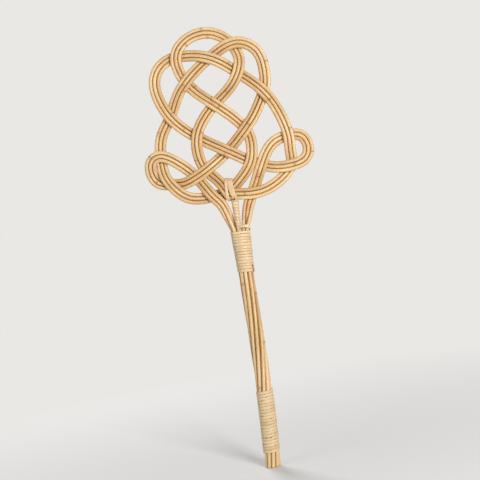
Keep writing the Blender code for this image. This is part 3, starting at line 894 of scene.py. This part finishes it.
@dataclass
class Knot:
    """The woven head: two bands of three canes, each crossing itself and the other.

    Place shares are of half the width, from the neck's middle, and of the height, from its top.
    """

    cane: Cane
    handle: Handle
    height: float = 0.3235
    width: float = 0.272
    samples: int = 24
    throat_gap: float = 0.0025
    throat_ease_share: float = 0.72
    bend_length: float = 0.008
    bend_samples: int = 20
    tone_swing: float = 0.22
    tone_turn: float = 1.9
    place_shares: dict[str, tuple[float, float]] = field(default_factory=lambda: {
        "neck left": (-0.088, 0.0), "throat left": (-0.163, 0.129), "left neck on arc": (-0.255, 0.180),
        "left neck under rise": (-0.412, 0.282), "left ear top run": (-0.609, 0.365),
        "left ear upper": (-0.789, 0.406), "left ear shoulder": (-0.892, 0.390),
        "left ear tip": (-0.924, 0.342), "left ear heel": (-0.862, 0.284),
        "left ear lower": (-0.720, 0.266), "rise foot": (-0.565, 0.260),
        "rise over left heart": (-0.288, 0.309), "rise under sweep": (-0.018, 0.387),
        "rise over slant": (0.229, 0.483), "rise bend": (0.361, 0.550),
        "shoulder over rise": (0.495, 0.649), "crown right": (0.539, 0.716),
        "crown shoulder": (0.500, 0.839), "crown top": (0.354, 0.894),
        "crown over right heart": (0.210, 0.901), "brow over crown": (-0.082, 0.848),
        "crown over top loop": (-0.374, 0.746), "fall bend": (-0.508, 0.677),
        "flank over fall": (-0.617, 0.589), "fall run": (-0.747, 0.500),
        "ear inner run": (-0.782, 0.331), "arc left": (-0.520, 0.187), "tie": (-0.068, 0.179),
        "arc over right neck": (0.202, 0.167), "arc right": (0.449, 0.190),
        "right ear lower": (0.690, 0.275), "right ear inner run": (0.708, 0.347),
        "right ear upper": (0.708, 0.422), "shoulder run": (0.635, 0.541),
        "right heart over brow": (0.234, 0.760), "top loop over brow": (-0.448, 0.876),
        "flank top": (-0.638, 0.844), "flank run": (-0.738, 0.759),
        "left heart over sweep": (-0.339, 0.476), "right heart over sweep": (0.236, 0.324),
        "right neck over sweep": (0.356, 0.300), "sweep run": (0.514, 0.277),
        "right ear heel": (0.857, 0.296), "right ear tip": (0.917, 0.353),
        "right ear shoulder": (0.855, 0.412), "right ear top run": (0.514, 0.394),
        "throat right": (0.132, 0.103), "neck right": (0.085, 0.0),
        "left heart foot": (-0.166, 0.249), "left heart run": (-0.352, 0.383),
        "left heart bend": (-0.242, 0.553), "heart centre": (-0.091, 0.621),
        "right heart rise": (0.119, 0.692), "right heart side": (0.271, 0.825),
        "top loop crest": (0.006, 0.966), "top loop shoulder": (-0.266, 0.957),
        "right heart run": (0.271, 0.394), "right heart foot": (0.129, 0.260),
        "right heart end": (-0.025, 0.201), "left heart tail": (-0.056, 0.171)})
    routes: dict[str, Sequence[tuple[str, Level]]] = field(default_factory=lambda: {"long": (
        ("neck left", B), ("throat left", B), ("left neck on arc", O), ("left neck under rise", U),
        ("left ear top run", B), ("left ear upper", O), ("left ear shoulder", B), ("left ear tip", B),
        ("left ear heel", B), ("left ear lower", U), ("rise foot", B), ("left neck under rise", O),
        ("rise over left heart", O), ("rise under sweep", U), ("rise over slant", O), ("rise bend", B),
        ("shoulder over rise", U), ("crown right", B), ("crown shoulder", B), ("crown top", B),
        ("crown over right heart", O), ("brow over crown", U), ("crown over top loop", O),
        ("fall bend", B), ("flank over fall", U), ("fall run", B), ("left ear upper", U),
        ("ear inner run", B), ("left ear lower", O), ("arc left", B), ("left neck on arc", U),
        ("tie", Level.BETWEEN), ("arc over right neck", O), ("arc right", B), ("right ear lower", U),
        ("right ear inner run", B), ("right ear upper", O), ("shoulder run", B),
        ("shoulder over rise", O), ("right heart over brow", U), ("brow over crown", O),
        ("top loop over brow", U), ("flank top", B), ("flank run", B), ("flank over fall", O),
        ("left heart over sweep", U), ("rise under sweep", O), ("right heart over sweep", U),
        ("right neck over sweep", U), ("sweep run", B), ("right ear lower", O), ("right ear heel", B),
        ("right ear tip", B), ("right ear shoulder", B), ("right ear upper", U),
        ("right ear top run", B), ("right neck over sweep", O), ("arc over right neck", U),
        ("throat right", B), ("neck right", B)), "short": (
        ("left heart tail", B), ("tie", Level.FRONT), ("left heart foot", B),
        ("rise over left heart", U), ("left heart run", B), ("left heart over sweep", O),
        ("left heart bend", B), ("heart centre", U), ("right heart rise", B),
        ("right heart over brow", O), ("right heart side", B), ("crown over right heart", U),
        ("top loop crest", B), ("top loop shoulder", B), ("top loop over brow", O),
        ("crown over top loop", U), ("heart centre", O), ("rise over slant", U),
        ("right heart run", B), ("right heart over sweep", O), ("right heart foot", B),
        ("right heart end", B), ("tie", Level.BEHIND))})
    tail_cut_shares: dict[str, float] = field(default_factory=lambda: {
        "outer": 0, "middle": 1.65, "inner": 2.95})
    free_sides: dict[str, int] = field(default_factory=lambda: {"outer": 1, "middle": 0, "inner": -1})

    @property
    def core(self) -> Array:
        """The centre cane's line, up to under the long band's lowest cane.

        Returns:
            Its foot, its middle and its top.
        """
        tie = self.at(self.place_shares["tie"])
        top = tie[1] - self.cane.pitch - self.cane.radius - self.throat_gap
        return np.outer([0, 0.5, 1], [0, 0, top])

    def at(self, shares: Sequence[float]) -> tuple[float, float]:
        """A place of the knot's plane as x and z, from its shares."""
        return (self.handle.middle[0] + shares[0] * self.width / 2,
                self.handle.neck_top + shares[1] * self.height)

    def plans(self) -> dict[str, Lines]:
        """Plan lines of each band's three canes, one pitch apart across the band.

        Returns:
            The lines by band and by place in it.
        """
        made = {}
        for band, route in self.routes.items():
            places = [self.at(self.place_shares[name]) for name, level in route]
            middle = smooth_line(places, self.samples)
            sides = self.cane.pitch * headings(middle)[:, ::-1] * (-1, 1)
            made[band] = {"outer": middle + sides, "middle": middle, "inner": middle - sides}
        return made

    def crossings(self, first: Array, second: Array) -> Iterable[tuple[float, float]]:
        """Where two plan lines cross: each pair of their short steps is solved for a common point.

        Args:
            first: One plan line.
            second: The other, or the same one.

        Returns:
            Pairs of places, along the first and along the second.
        """
        def skew(one: Array, other: Array) -> Array:
            """How far two plan vectors are from lying along each other."""
            return one[..., 0] * other[..., 1] - one[..., 1] * other[..., 0]

        step_a = np.diff(first, axis=0)[:, None]
        step_b = np.diff(second, axis=0)[None, :]
        apart = second[None, :-1] - first[:-1, None]
        turn = skew(step_a, step_b)
        turn = np.where(turn == 0, np.inf, turn)
        along_a, along_b = skew(apart, step_b) / turn, skew(apart, step_a) / turn
        meets = (along_a >= 0) & (along_a < 1) & (along_b >= 0) & (along_b < 1)
        if first is second:
            index = np.arange(len(first) - 1)
            meets &= np.abs(index[:, None] - index[None, :]) > self.samples
        at_a, at_b = np.nonzero(meets)
        return zip(at_a + along_a[at_a, at_b], at_b + along_b[at_a, at_b])

    def shared(self, band: str, other: str) -> list[tuple[int, int]]:
        """Pairs of stops at which two bands' routes name the same crossing.

        Args:
            band: One band.
            other: The other, or the same one.

        Returns:
            Pairs of places in the one route and in the other.
        """
        stops = itertools.product(enumerate(self.routes[band]), enumerate(self.routes[other]))
        return [(i, j) for (i, (name, level)), (j, (again, below)) in stops
                if name == again and B not in (level, below) and (band != other or i != j)]

    def stops(self, line: Array, band: str, plans: dict[str, Lines]) -> list[tuple[float, float]]:
        """Places along a cane where it crosses another or ends, with the level that its route gives.

        Args:
            line: The cane's plan line.
            band: Its band.
            plans: All plan lines.

        Returns:
            Pairs of place and level, in order, none nearer than a sample's share to the next.
        """
        found = [(i * self.samples, level.value) for i, (name, level) in enumerate(self.routes[band])
                 if level in (Level.FRONT, Level.BEHIND)]
        for other, lines in plans.items():
            shared = self.shared(band, other)
            for crossed in lines.values():
                for at, at_other in self.crossings(line, crossed):
                    miss = [abs(at - i * self.samples) + abs(at_other - j * self.samples)
                            for i, j in shared]
                    found.append((at, self.routes[band][shared[int(np.argmin(miss))][0]][1].value))
        found.sort()
        before = [(-1.0, 0.0)] + found
        return [stop for last, stop in zip(before, found) if stop[0] - last[0] > 1 / self.samples]

    def depths(self, line: Array, stops: list[tuple[float, float]]) -> Array:
        """Depth along a plan line: level at each crossing, with a smoothstep from one to the next.

        Args:
            line: The cane's plan line.
            stops: Its places and levels.

        Returns:
            The depth at each point.
        """
        along = run_length(line)
        places, levels = np.transpose(stops)
        knots = np.interp(places, np.arange(len(line)), along)
        span = np.clip(np.searchsorted(knots, along) - 1, 0, len(knots) - 2)
        part = smoothstep((along - knots[span]) / np.diff(knots)[span])
        return self.handle.middle[1] + self.cane.layer * (levels[span] + np.diff(levels)[span] * part)

    def gathered(self, line: Array, middle: Array, reach: float, target: Array) -> Array:
        """A cane's first stretch above the neck, moved from the flat band to its place in the neck.

        With a turn that falls from a quarter circle to none over the reach, the sideways move is
        the offset times one less its cosine, and the move in depth is the offset times its sine,
        averaged over a short stretch so that the cane starts to dive in a soft bend.

        Args:
            line: The cane's line in space, from the neck on.
            middle: The band's middle line in plan.
            reach: How far along it the move ends.
            target: The cane's place at the neck.

        Returns:
            The moved line.
        """
        def turn(at: Array) -> Array:
            """The turn left at a distance along the band."""
            return np.clip(1 - at / reach, 0, 1) * math.pi / 2

        along, bend = run_length(middle), self.bend_length
        fine = np.arange(-bend, along[-1] + bend, bend / self.bend_samples)
        total = np.cumsum(np.sin(turn(fine)))
        dive = np.interp(along + bend, fine, total) - np.interp(along - bend, fine, total)
        start = np.array([target[0], 0, self.handle.neck_top]) - line[0]
        eased = line + start * (1, 0, 1) * (1 - np.cos(turn(along)))[:, None]
        eased[:, 1] += (target[1] - line[:, 1]) * dive / dive[0]
        return eased

    def lines(self) -> Lines:
        """Centre lines of the six canes: the long ones from butt to butt.

        Returns:
            The lines by CAD node, read at equal steps.
        """
        plans = self.plans()
        depths = {band: {name: self.depths(plan, self.stops(plan, band, plans))
                         for name, plan in plans[band].items()} for band in plans}
        raised = {band: {name: np.insert(plan, 1, depths[band][name], axis=1)
                         for name, plan in plans[band].items()} for band in plans}
        middle = plans["long"]["middle"]
        along = run_length(middle)
        crossed = [i * self.samples for i, (name, level) in enumerate(self.routes["long"])
                   if level is not B]
        left = self.throat_ease_share * along[crossed[0]]
        right = self.throat_ease_share * (along[-1] - along[crossed[-1]])
        made = {}
        for name, line in raised["long"].items():
            for side, reach in (("left ", left), ("right ", right)):
                line = self.gathered(line, middle, reach, self.handle.neck_place(side + name))
                line, middle = line[::-1], middle[::-1]
            ends = [self.handle.knot_end(side + name) for side in ("left ", "right ")]
            made["long_cane_" + name] = np.concatenate([ends[0], line, ends[1][::-1]])
        for name, line in raised["short"].items():
            cut = np.searchsorted(run_length(line), self.tail_cut_shares[name] * self.cane.pitch)
            made["short_cane_" + name] = line[cut:]
        return {name: evenly(line, self.cane.step) for name, line in made.items()}

    def build(self, marks: GrowthMarks, finish: Material) -> Lines:
        """Makes the knot's canes with their rings and patches.

        Args:
            marks: What the photograph shows on them.
            finish: The cane's material.

        Returns:
            Centre lines by CAD node.
        """
        lines = self.lines()
        rings, stains = (marks.on(lines, kind) for kind in (MarkKind.RING, MarkKind.STAIN))
        for seed, (name, line) in enumerate(lines.items(), start=1):
            tone = self.tone_swing * math.sin(seed * self.tone_turn)
            free_side = self.free_sides[name.rpartition("_")[2]]
            tube = self.cane.tube(line, seed, rings[name], stains[name], tone, free_side)
            add_piece(name + "_rattan", tube, finish, [name])
        return lines


@dataclass
class Strip:
    """How a split cane is carried along a path: flat inside, crowned outside."""

    thickness: float = 0.0011
    crown: float = 0.00035
    points: int = 18
    step: float = 0.0008
    edge_power: float = 0.45
    face_power: float = 0.6
    tone_swing: float = 0.35
    tone_step: float = 0.03
    no_ring: float = 1.0

    def section(self) -> tuple[Array, Array]:
        """The profile: a flat oval, of powers of the cosine and sine, with a parabola on its outside.

        Returns:
            Shares of the half width, and heights.
        """
        cosine, sine, _ = around(np.arange(self.points) * 2 * math.pi / self.points).T
        across = np.sign(cosine) * np.abs(cosine) ** self.edge_power
        out = np.sign(sine) * np.abs(sine) ** self.face_power * self.thickness / 2
        return across, out + np.where(sine > 0, self.crown * (1 - across ** 2), 0)

    def tube(self, path: Array, outward: Array, half: Array, seed: int, tone: float = 0.0,
             warmth: float = 0.0) -> Tube:
        """Carries the profile along a path.

        A point is the path's point, plus the strip's own sideways direction times a place between
        its two edges, plus the outward direction times the profile's height.

        Args:
            path: The strip's line.
            outward: Which way its crowned side faces, a row for each point.
            half: Distance from the line to either edge.
            seed: Which strip it is.
            tone: How much darker than the others it is.
            warmth: How much redder than the others it is.

        Returns:
            The closed tube.
        """
        heading = headings(path)
        outward = unit(outward - heading * (outward * heading).sum(axis=1, keepdims=True))
        sideways = np.cross(heading, outward)
        across, out = self.section()
        reach = half[:, None] * across
        grid = path[:, None] + sideways[:, None] * reach[..., None] + outward[:, None] * out[:, None]
        along = run_length(path)
        shift = np.random.default_rng(seed).uniform(0, 9)
        grain = np.stack(np.broadcast_arrays(reach, out, along[:, None] + shift), axis=-1)
        tones = tone + self.tone_swing * soft_noise(along, self.tone_step, seed + 10)
        level = np.ones(len(path))
        return Tube(grid, grain, self.no_ring * level, warmth * level, tones, 0 * level).closed()


@dataclass(frozen=True)
class Turns:
    """How one strip is wound.

    Attributes:
        node: Its CAD node.
        bottom: Height of its lowest edge.
        top: Height of its highest edge, lead apart.
        count: How often it goes round.
        start_share: Where round the bundle it starts, as a share of a turn before +X.
        way: 1 to go round anticlockwise, seen from above, and -1 for clockwise.
        open_share: How far the widest gaps between its turns open, as a share of a turn.
        seed: Which winding it is.
        lead: How far its lead turn rises, or none.
    """

    node: str
    bottom: float
    top: float
    count: int
    start_share: float
    way: int
    open_share: float
    seed: int
    lead: float = 0.0

    def pitch(self, gap: float) -> float:
        """Height of one turn, with the gap to the next."""
        return (self.top - self.bottom + gap) / (self.count + 1)

    def angles(self, wound: Array) -> Array:
        """Angle round the bundle after a number of turns."""
        return self.way * (wound - self.start_share) * 2 * math.pi


@dataclass
class Bindings:
    """The split canes round the grip, the neck and the throat, and the tie under the knot."""

    cane: Cane
    handle: Handle
    knot: Knot
    finish: Material
    canes: Canes = field(default_factory=list)
    strip: Strip = field(default_factory=Strip)
    gap: float = 0.00055
    seat_gap: float = 0.0003
    fine: int = 144
    bridge: int = 25
    blur: int = 7
    lean_share: float = 0.35
    border_waver: float = 0.07
    border_step: float = 0.55
    hair_share: float = 0.02
    opening_step: float = 0.085
    opening_rarity: float = 0.55
    open_share: float = 0.14
    grip_open_share: float = 0.36
    grip_turns: int = 20
    grip_start_share: float = 0.25
    neck_turns: int = 14
    neck_start_share: float = -0.147
    lead_rise: float = 0.0075
    lead_share: float = 0.375
    lead_hooks: Sequence[tuple[float, float]] = ((0.05, -0.75), (0.55, -1.12))
    lead_points: int = 16
    throat_turns: int = 8
    throat_start_share: float = -0.25
    throat_early: float = 0.8
    throat_extra: float = 2.4
    throat_swell: float = 0.0015
    throat_foot: float = 0.0035
    tuck_angle: float = math.radians(-7)
    tuck_swing: float = 0.02
    tuck_width: float = 0.0034
    tuck_length: float = 0.0115
    tuck_rise: float = 0.0002
    tuck_lift_share: float = 1.12
    tuck_sink_share: float = 0.5
    tuck_points: int = 16
    tuck_tone: float = 0.2
    tuck_seed: int = 75
    tie_width: float = 0.0044
    tie_waver: float = 0.08
    tie_waver_step: float = 0.012
    tie_taper: float = 0.004
    tie_tone: float = 0.15
    tie_warmth: float = 0.32
    tie_samples: int = 16
    tie_seed: int = 71
    tie_route_shares: Sequence[Point] = (
        (0.014, 0.143, -0.97), (0.004, 0.160, -0.66), (-0.021, 0.198, -0.44), (-0.025, 0.238, -0.40),
        (-0.018, 0.252, -0.05), (-0.018, 0.252, 0.65), (-0.024, 0.238, 1), (-0.020, 0.198, 1),
        (-0.018, 0.156, 1), (-0.020, 0.147, 0.5), (-0.022, 0.147, -0.2),
        (-0.026, 0.160, -0.50), (-0.052, 0.198, -0.62), (-0.055, 0.238, -0.80),
        (-0.048, 0.253, -0.35), (-0.048, 0.253, 0.6), (-0.054, 0.238, 1), (-0.050, 0.198, 1),
        (-0.052, 0.156, 1), (-0.060, 0.147, 0.5), (-0.075, 0.147, -0.5),
        (-0.088, 0.156, -1), (-0.090, 0.198, -1), (-0.086, 0.238, -1),
        (-0.078, 0.255, -0.5), (-0.078, 0.255, 0.5), (-0.084, 0.238, 1), (-0.084, 0.200, 1))

    @property
    def seat(self) -> float:
        """Distance from a cane's surface to the middle of a strip on it."""
        return self.seat_gap + self.strip.thickness / 2

    def standing(self, knot_lines: Lines, fillers: Lines) -> Canes:
        """What the bindings go round: the lines that rise from the butt.

        Args:
            knot_lines: Centre lines of the knot's canes.
            fillers: Centre lines of the handle's own canes.

        Returns:
            Lines that rise all the way, each with its radius.
        """
        canes = [(line, self.cane.radius) for line in fillers.values()]
        top = self.handle.neck_top + 2 * self.lead_rise
        for name, line in knot_lines.items():
            if name.startswith("long"):
                for rising in (line, line[::-1]):
                    canes.append((rising[:np.argmax(rising[:, 2] > top) + 1], self.cane.radius))
        return canes + [(self.knot.core, self.cane.radius + self.seat_gap + self.strip.thickness)]

    def wrapped(self, heights: Array, angles: Array, width: float) -> Array:
        """A strip's line pulled round the canes: the envelope of the straight lines that clear them.

        At each angle the reach is the largest, over the canes, of a cane's place along that
        direction plus its radius. It is averaged over a short arc, because a strip bridges the
        hollows between canes in a soft curve. The line lies the reach out along the direction,
        and the reach's slope across it.

        Args:
            heights: Its heights.
            angles: Its angles.
            width: Its width; it clears leaning canes at both edges.

        Returns:
            The line.
        """
        outward, across = around(angles), around(angles + math.pi / 2)
        reach = np.full(len(angles), -np.inf)
        for (line, radius), edge in itertools.product(self.canes, (-1, 0, 1)):
            level = heights + edge * width / 2
            x, y = (np.interp(level, line[:, 2], line[:, axis]) for axis in (0, 1))
            beyond = np.maximum(0, heights - width / 2 - line[-1, 2])
            clear = radius + self.seat - self.lean_share * beyond
            reach = np.maximum(reach, x * outward[:, 0] + y * outward[:, 1] + clear)
        reach = softened(reach, self.bridge)
        path = reach[:, None] * outward + np.gradient(reach, angles)[:, None] * across
        return path + np.outer(heights, (0, 0, 1))

    def edges(self, turns: Turns, wound: Array) -> tuple[Array, Array]:
        """How far a winding's two edges lie from its line.

        Neighbouring turns share one wavering border, and each keeps half of a gap from it that is
        mostly a hair and here and there opens, so turns never overlap.

        Args:
            turns: The winding.
            wound: Turns wound so far.

        Returns:
            Distance to the upper and to the lower edge.
        """
        pitch = turns.pitch(self.gap)
        shifts, gaps = [], []
        for border in (wound - wound.min() + 0.5, wound - wound.min() + 1.5):
            shifts.append(self.border_waver * pitch * soft_noise(border, self.border_step, turns.seed))
            noise = soft_noise(border, self.opening_step, turns.seed + 1)
            wide = np.clip(noise - self.opening_rarity, 0, 1)
            gaps.append(pitch * (self.hair_share + turns.open_share * wide))
        return pitch / 2 + shifts[0] - gaps[0], pitch / 2 - shifts[1] - gaps[1]

    def wind(self, turns: Turns, path: Array, angles: Array, wound: Array,
             ceiling: float = math.inf) -> None:
        """Makes a winding from its line, moved to the middle between its two edges.

        Args:
            turns: The winding.
            path: The line, wound downwards.
            angles: Its angle at each point.
            wound: Turns wound at each point.
            ceiling: Height at which its first turn is cut level.
        """
        upper, lower = self.edges(turns, wound)
        upper = np.minimum(upper, ceiling - path[:, 2])
        path = path + np.outer(upper - lower, (0, 0, 0.5))
        along = run_length(path)
        kept = np.concatenate([[True], np.diff(along) > 0])
        marks = np.linspace(0, along[-1], round(along[-1] / self.strip.step) + 1)
        rows = np.column_stack([path, around(angles), (upper + lower) / 2])[kept]
        rows = np.stack([softened(np.interp(marks, along[kept], column), self.blur)
                         for column in rows.T], axis=1)
        tube = self.strip.tube(rows[:, :3], rows[:, 3:6], rows[:, 6], turns.seed)
        add_piece(turns.node + "_strip", tube, self.finish, [turns.node])

    def bind(self, turns: Turns) -> None:
        """Winds a strip down round the canes, a pitch a turn, after part of a lead turn if it has one.

        The lead comes out of the throat winding by its hooks, which are shares of that winding's
        radius, and eases down to the height of the first turn.

        Args:
            turns: The winding.
        """
        pitch = turns.pitch(self.gap)
        width = pitch - self.gap
        lead_steps = round(self.lead_share * self.fine) if turns.lead else 0
        wound = np.arange(-lead_steps, turns.count * self.fine + 1) / self.fine
        lift = turns.lead - pitch + width / 2 if turns.lead else 0
        rise = lift * smoothstep(-wound / self.lead_share)
        angles = turns.angles(wound)
        path = self.wrapped(turns.top - width / 2 - pitch * wound + rise, angles, width)
        if turns.lead:
            core = self.cane.radius + self.strip.thickness + self.seat_gap
            hooks = [(core * x, core * y, path[0, 2]) for x, y in self.lead_hooks] + [path[0]]
            run = [np.linspace(start, stop, self.lead_points, endpoint=False)
                   for start, stop in zip(hooks, hooks[1:])]
            path = np.concatenate([*run, path])
            before = (len(path) - len(angles), 0)
            angles, wound = (np.pad(values, before, mode="edge") for values in (angles, wound))
        self.wind(turns, path, angles, wound)

    def tuck(self) -> None:
        """Lays the neck strip's own end up over its lowest turns, at the right edge of the front.

        It lies a little more than a strip's thickness out, and its two ends sink half of one in.
        """
        heights = np.linspace(0, self.tuck_length, self.tuck_points)
        heights += self.handle.neck_bottom + self.tuck_rise
        angles = self.tuck_angle + np.linspace(self.tuck_swing, -self.tuck_swing, self.tuck_points)
        outward = around(angles)
        path = self.wrapped(heights, angles, self.tuck_width)
        path += outward * self.strip.thickness * self.tuck_lift_share
        path[[0, -1]] -= outward[[0, -1]] * self.strip.thickness * self.tuck_sink_share
        half = np.full(len(path), self.tuck_width / 2)
        tube = self.strip.tube(path, outward, half, self.tuck_seed, tone=self.tuck_tone)
        add_piece("neck_binding_tucked_end", tube, self.finish)

    def throat(self, turns: Turns) -> None:
        """Winds the strip round the centre cane above the neck: a helix that widens upwards.

        It starts with part of a turn more, cut level with the top of the centre cane, and goes on
        past its last whole turn to the neck binding.

        Args:
            turns: The winding.
        """
        pitch = turns.pitch(self.gap)
        last = turns.count + self.throat_extra
        wound = np.arange(-round(self.throat_early * self.fine), round(last * self.fine)) / self.fine
        angles = turns.angles(wound)
        radius = self.cane.radius + self.seat + self.throat_swell * (1 - wound / turns.count)
        heights = turns.top - (pitch - self.gap) / 2 - pitch * wound
        path = radius[:, None] * around(angles) + np.outer(heights, (0, 0, 1))
        self.wind(turns, path, angles, wound, turns.top)

    def tie(self) -> None:
        """Ties the crossing: a strip three times up in front of it and down behind.

        The line is a smooth one through places of the knot's plane, each with a depth that is a
        share of the reach; the strip's crowned side faces away from the middle of the crossing.
        """
        cane, strip = self.cane, self.strip
        reach = cane.layer * (Level.BEHIND.value - Level.BETWEEN.value) + cane.radius + self.seat
        middle = self.handle.middle[1] + cane.layer * Level.BETWEEN.value
        places = ((*self.knot.at(route[:2]), route[2]) for route in self.tie_route_shares)
        points = [(x, middle + depth * reach, z) for x, z, depth in places]
        path = evenly(smooth_line(points, self.tie_samples), strip.step)
        outward = np.cross(headings(path), (1, 0, 0))
        along = run_length(path)
        half = 1 + self.tie_waver * soft_noise(along, self.tie_waver_step, self.tie_seed)
        half *= self.tie_width / 2 * (1 + smoothstep(along / self.tie_taper)) / 2
        tube = strip.tube(path, outward, half, self.tie_seed, self.tie_tone, self.tie_warmth)
        add_piece("throat_tie_strip", tube, self.finish, ["throat_tie"])

    def build(self, knot_lines: Lines, fillers: Lines) -> None:
        """Makes the three windings and the tie.

        Args:
            knot_lines: Centre lines of the knot's canes.
            fillers: Centre lines of the handle's own canes.
        """
        self.canes = self.standing(knot_lines, fillers)
        handle = self.handle
        self.bind(Turns("grip_binding", handle.butt_length, handle.grip_top, self.grip_turns,
                        self.grip_start_share, -1, self.grip_open_share, seed=61))
        self.bind(Turns("neck_binding", handle.neck_bottom, handle.neck_top, self.neck_turns,
                        self.neck_start_share, 1, self.open_share, seed=62, lead=self.lead_rise))
        self.tuck()
        self.throat(Turns("throat_winding", handle.neck_top + self.throat_foot, self.knot.core[-1, 2],
                          self.throat_turns, self.throat_start_share, 1, self.open_share, seed=63))
        self.tie()


@dataclass(frozen=True)
class Lamp:
    """A square soft lamp.

    Attributes:
        name: Its name.
        place: Where it hangs.
        side: How wide it is.
        power: Its power in watts.
        gloss: Whether it shows in the sheen of the canes.
    """

    name: str
    place: Point
    side: float
    power: float
    gloss: bool = True

    def hang(self, target: Point) -> None:
        """Puts it into the scene.

        Args:
            target: What it faces.
        """
        light = bpy.data.lights.new(self.name, "AREA")
        light.size = self.side
        light.energy = self.power
        thing = bpy.data.objects.new(self.name, light)
        thing.location = self.place
        thing.visible_glossy = self.gloss
        thing.rotation_euler = (Vector(target) - Vector(self.place)).to_track_quat("-Z", "Y").to_euler()
        bpy.context.scene.collection.objects.link(thing)


@dataclass
class Studio:
    """The plain pale floor, the soft lamps and the camera at the photograph's angle."""

    photograph: Photograph
    middle: float
    distance: float = 1.32
    sensor: float = 36.0
    floor_side: float = 30.0
    floor_fade: tuple[float, float] = (0.15, 1.0)
    floor_colour: Colour = (0.80, 0.80, 0.80, 1)
    backdrop: Colour = (0.82, 0.805, 0.785, 1)
    sky: Colour = (1.0, 0.985, 0.96, 1)
    sky_strength: float = 0.27
    lamp_target: float = 0.4
    lamps: Sequence[Lamp] = (
        Lamp("key_lamp", (0.9, -1.8, 0.80), 0.6, 36.0), Lamp("fill_lamp", (-1.7, -1.2, 0.9), 1.2, 6.0),
        Lamp("back_lamp", (-0.7, 1.8, 1.2), 1.0, 30.0, gloss=False))

    def floor(self) -> None:
        """A wide flat floor, pale, which gives way to the backdrop's colour far from the object."""
        half = self.floor_side / 2
        mesh = bpy.data.meshes.new("floor")
        corners = [(-half, -half, 0), (half, -half, 0), (half, half, 0), (-half, half, 0)]
        mesh.from_pydata(corners, [], [(0, 1, 2, 3)])
        floor = bpy.data.objects.new("floor", mesh)
        bpy.context.scene.collection.objects.link(floor)
        tree = NodeTree(bpy.data.materials.new("pale_floor"))
        reach = tree.length(tree.add("TexCoord").outputs["Object"])
        paint = tree.add("BsdfDiffuse", {"Color": self.floor_colour}).outputs[0]
        glow = tree.add("Emission", {"Color": self.backdrop, "Strength": 1.0}).outputs[0]
        share = tree.math("MULTIPLY", tree.ramp(reach, *self.floor_fade), tree.seen())
        mixed = tree.add("MixShader", {0: share, 1: paint, 2: glow}).outputs[0]
        tree.add("OutputMaterial", {"Surface": mixed})
        mesh.materials.append(tree.owner)

    def world(self) -> None:
        """A soft even sky: the backdrop's colour to whatever sees it, and dimmer as a light."""
        world = bpy.data.worlds.new("soft_sky")
        bpy.context.scene.world = world
        tree = NodeTree(world)
        sky = tree.add("Background", {"Color": self.sky, "Strength": self.sky_strength}).outputs[0]
        backdrop = tree.add("Background", {"Color": self.backdrop, "Strength": 1.0}).outputs[0]
        mixed = tree.add("MixShader", {0: tree.seen(), 1: sky, 2: backdrop}).outputs[0]
        tree.add("OutputWorld", {"Surface": mixed})

    def camera(self) -> None:
        """The camera, level with the picture's middle and rolled by the beater's lean in it."""
        photograph = self.photograph
        x, z = photograph.place((photograph.side / 2, photograph.side / 2), self.middle)
        data = bpy.data.cameras.new("camera")
        data.sensor_width = self.sensor
        data.lens = self.sensor * self.distance / (photograph.side * photograph.pixel_size)
        thing = bpy.data.objects.new("camera", data)
        right = Vector((math.cos(photograph.lean), 0, -math.sin(photograph.lean)))
        up = Vector((math.sin(photograph.lean), 0, math.cos(photograph.lean)))
        turned = Matrix((right, up, right.cross(up))).transposed()
        thing.matrix_world = Matrix.Translation((x, -self.distance, z)) @ turned.to_4x4()
        bpy.context.scene.collection.objects.link(thing)
        bpy.context.scene.camera = thing

    def build(self) -> None:
        """Makes the floor, the sky, the lamps and the camera."""
        bpy.context.scene.view_settings.view_transform = "Standard"
        self.floor()
        self.world()
        for lamp in self.lamps:
            lamp.hang((self.middle, 0, self.lamp_target))
        self.camera()


def main() -> None:
    """Builds the beater and its studio."""
    logging.basicConfig(level=logging.INFO, format="%(message)s")
    cane = Cane()
    handle = Handle(cane)
    knot = Knot(cane, handle)
    photograph = Photograph()
    middle = float(handle.middle[0])
    rattan = PeeledRattan().material()
    knot_lines = knot.build(GrowthMarks(photograph, middle), rattan)
    fillers = handle.build(rattan, knot.core)
    Bindings(cane, handle, knot, SplitCane().material()).build(knot_lines, fillers)
    Studio(photograph, middle).build()


if __name__ == "__main__":
    main()
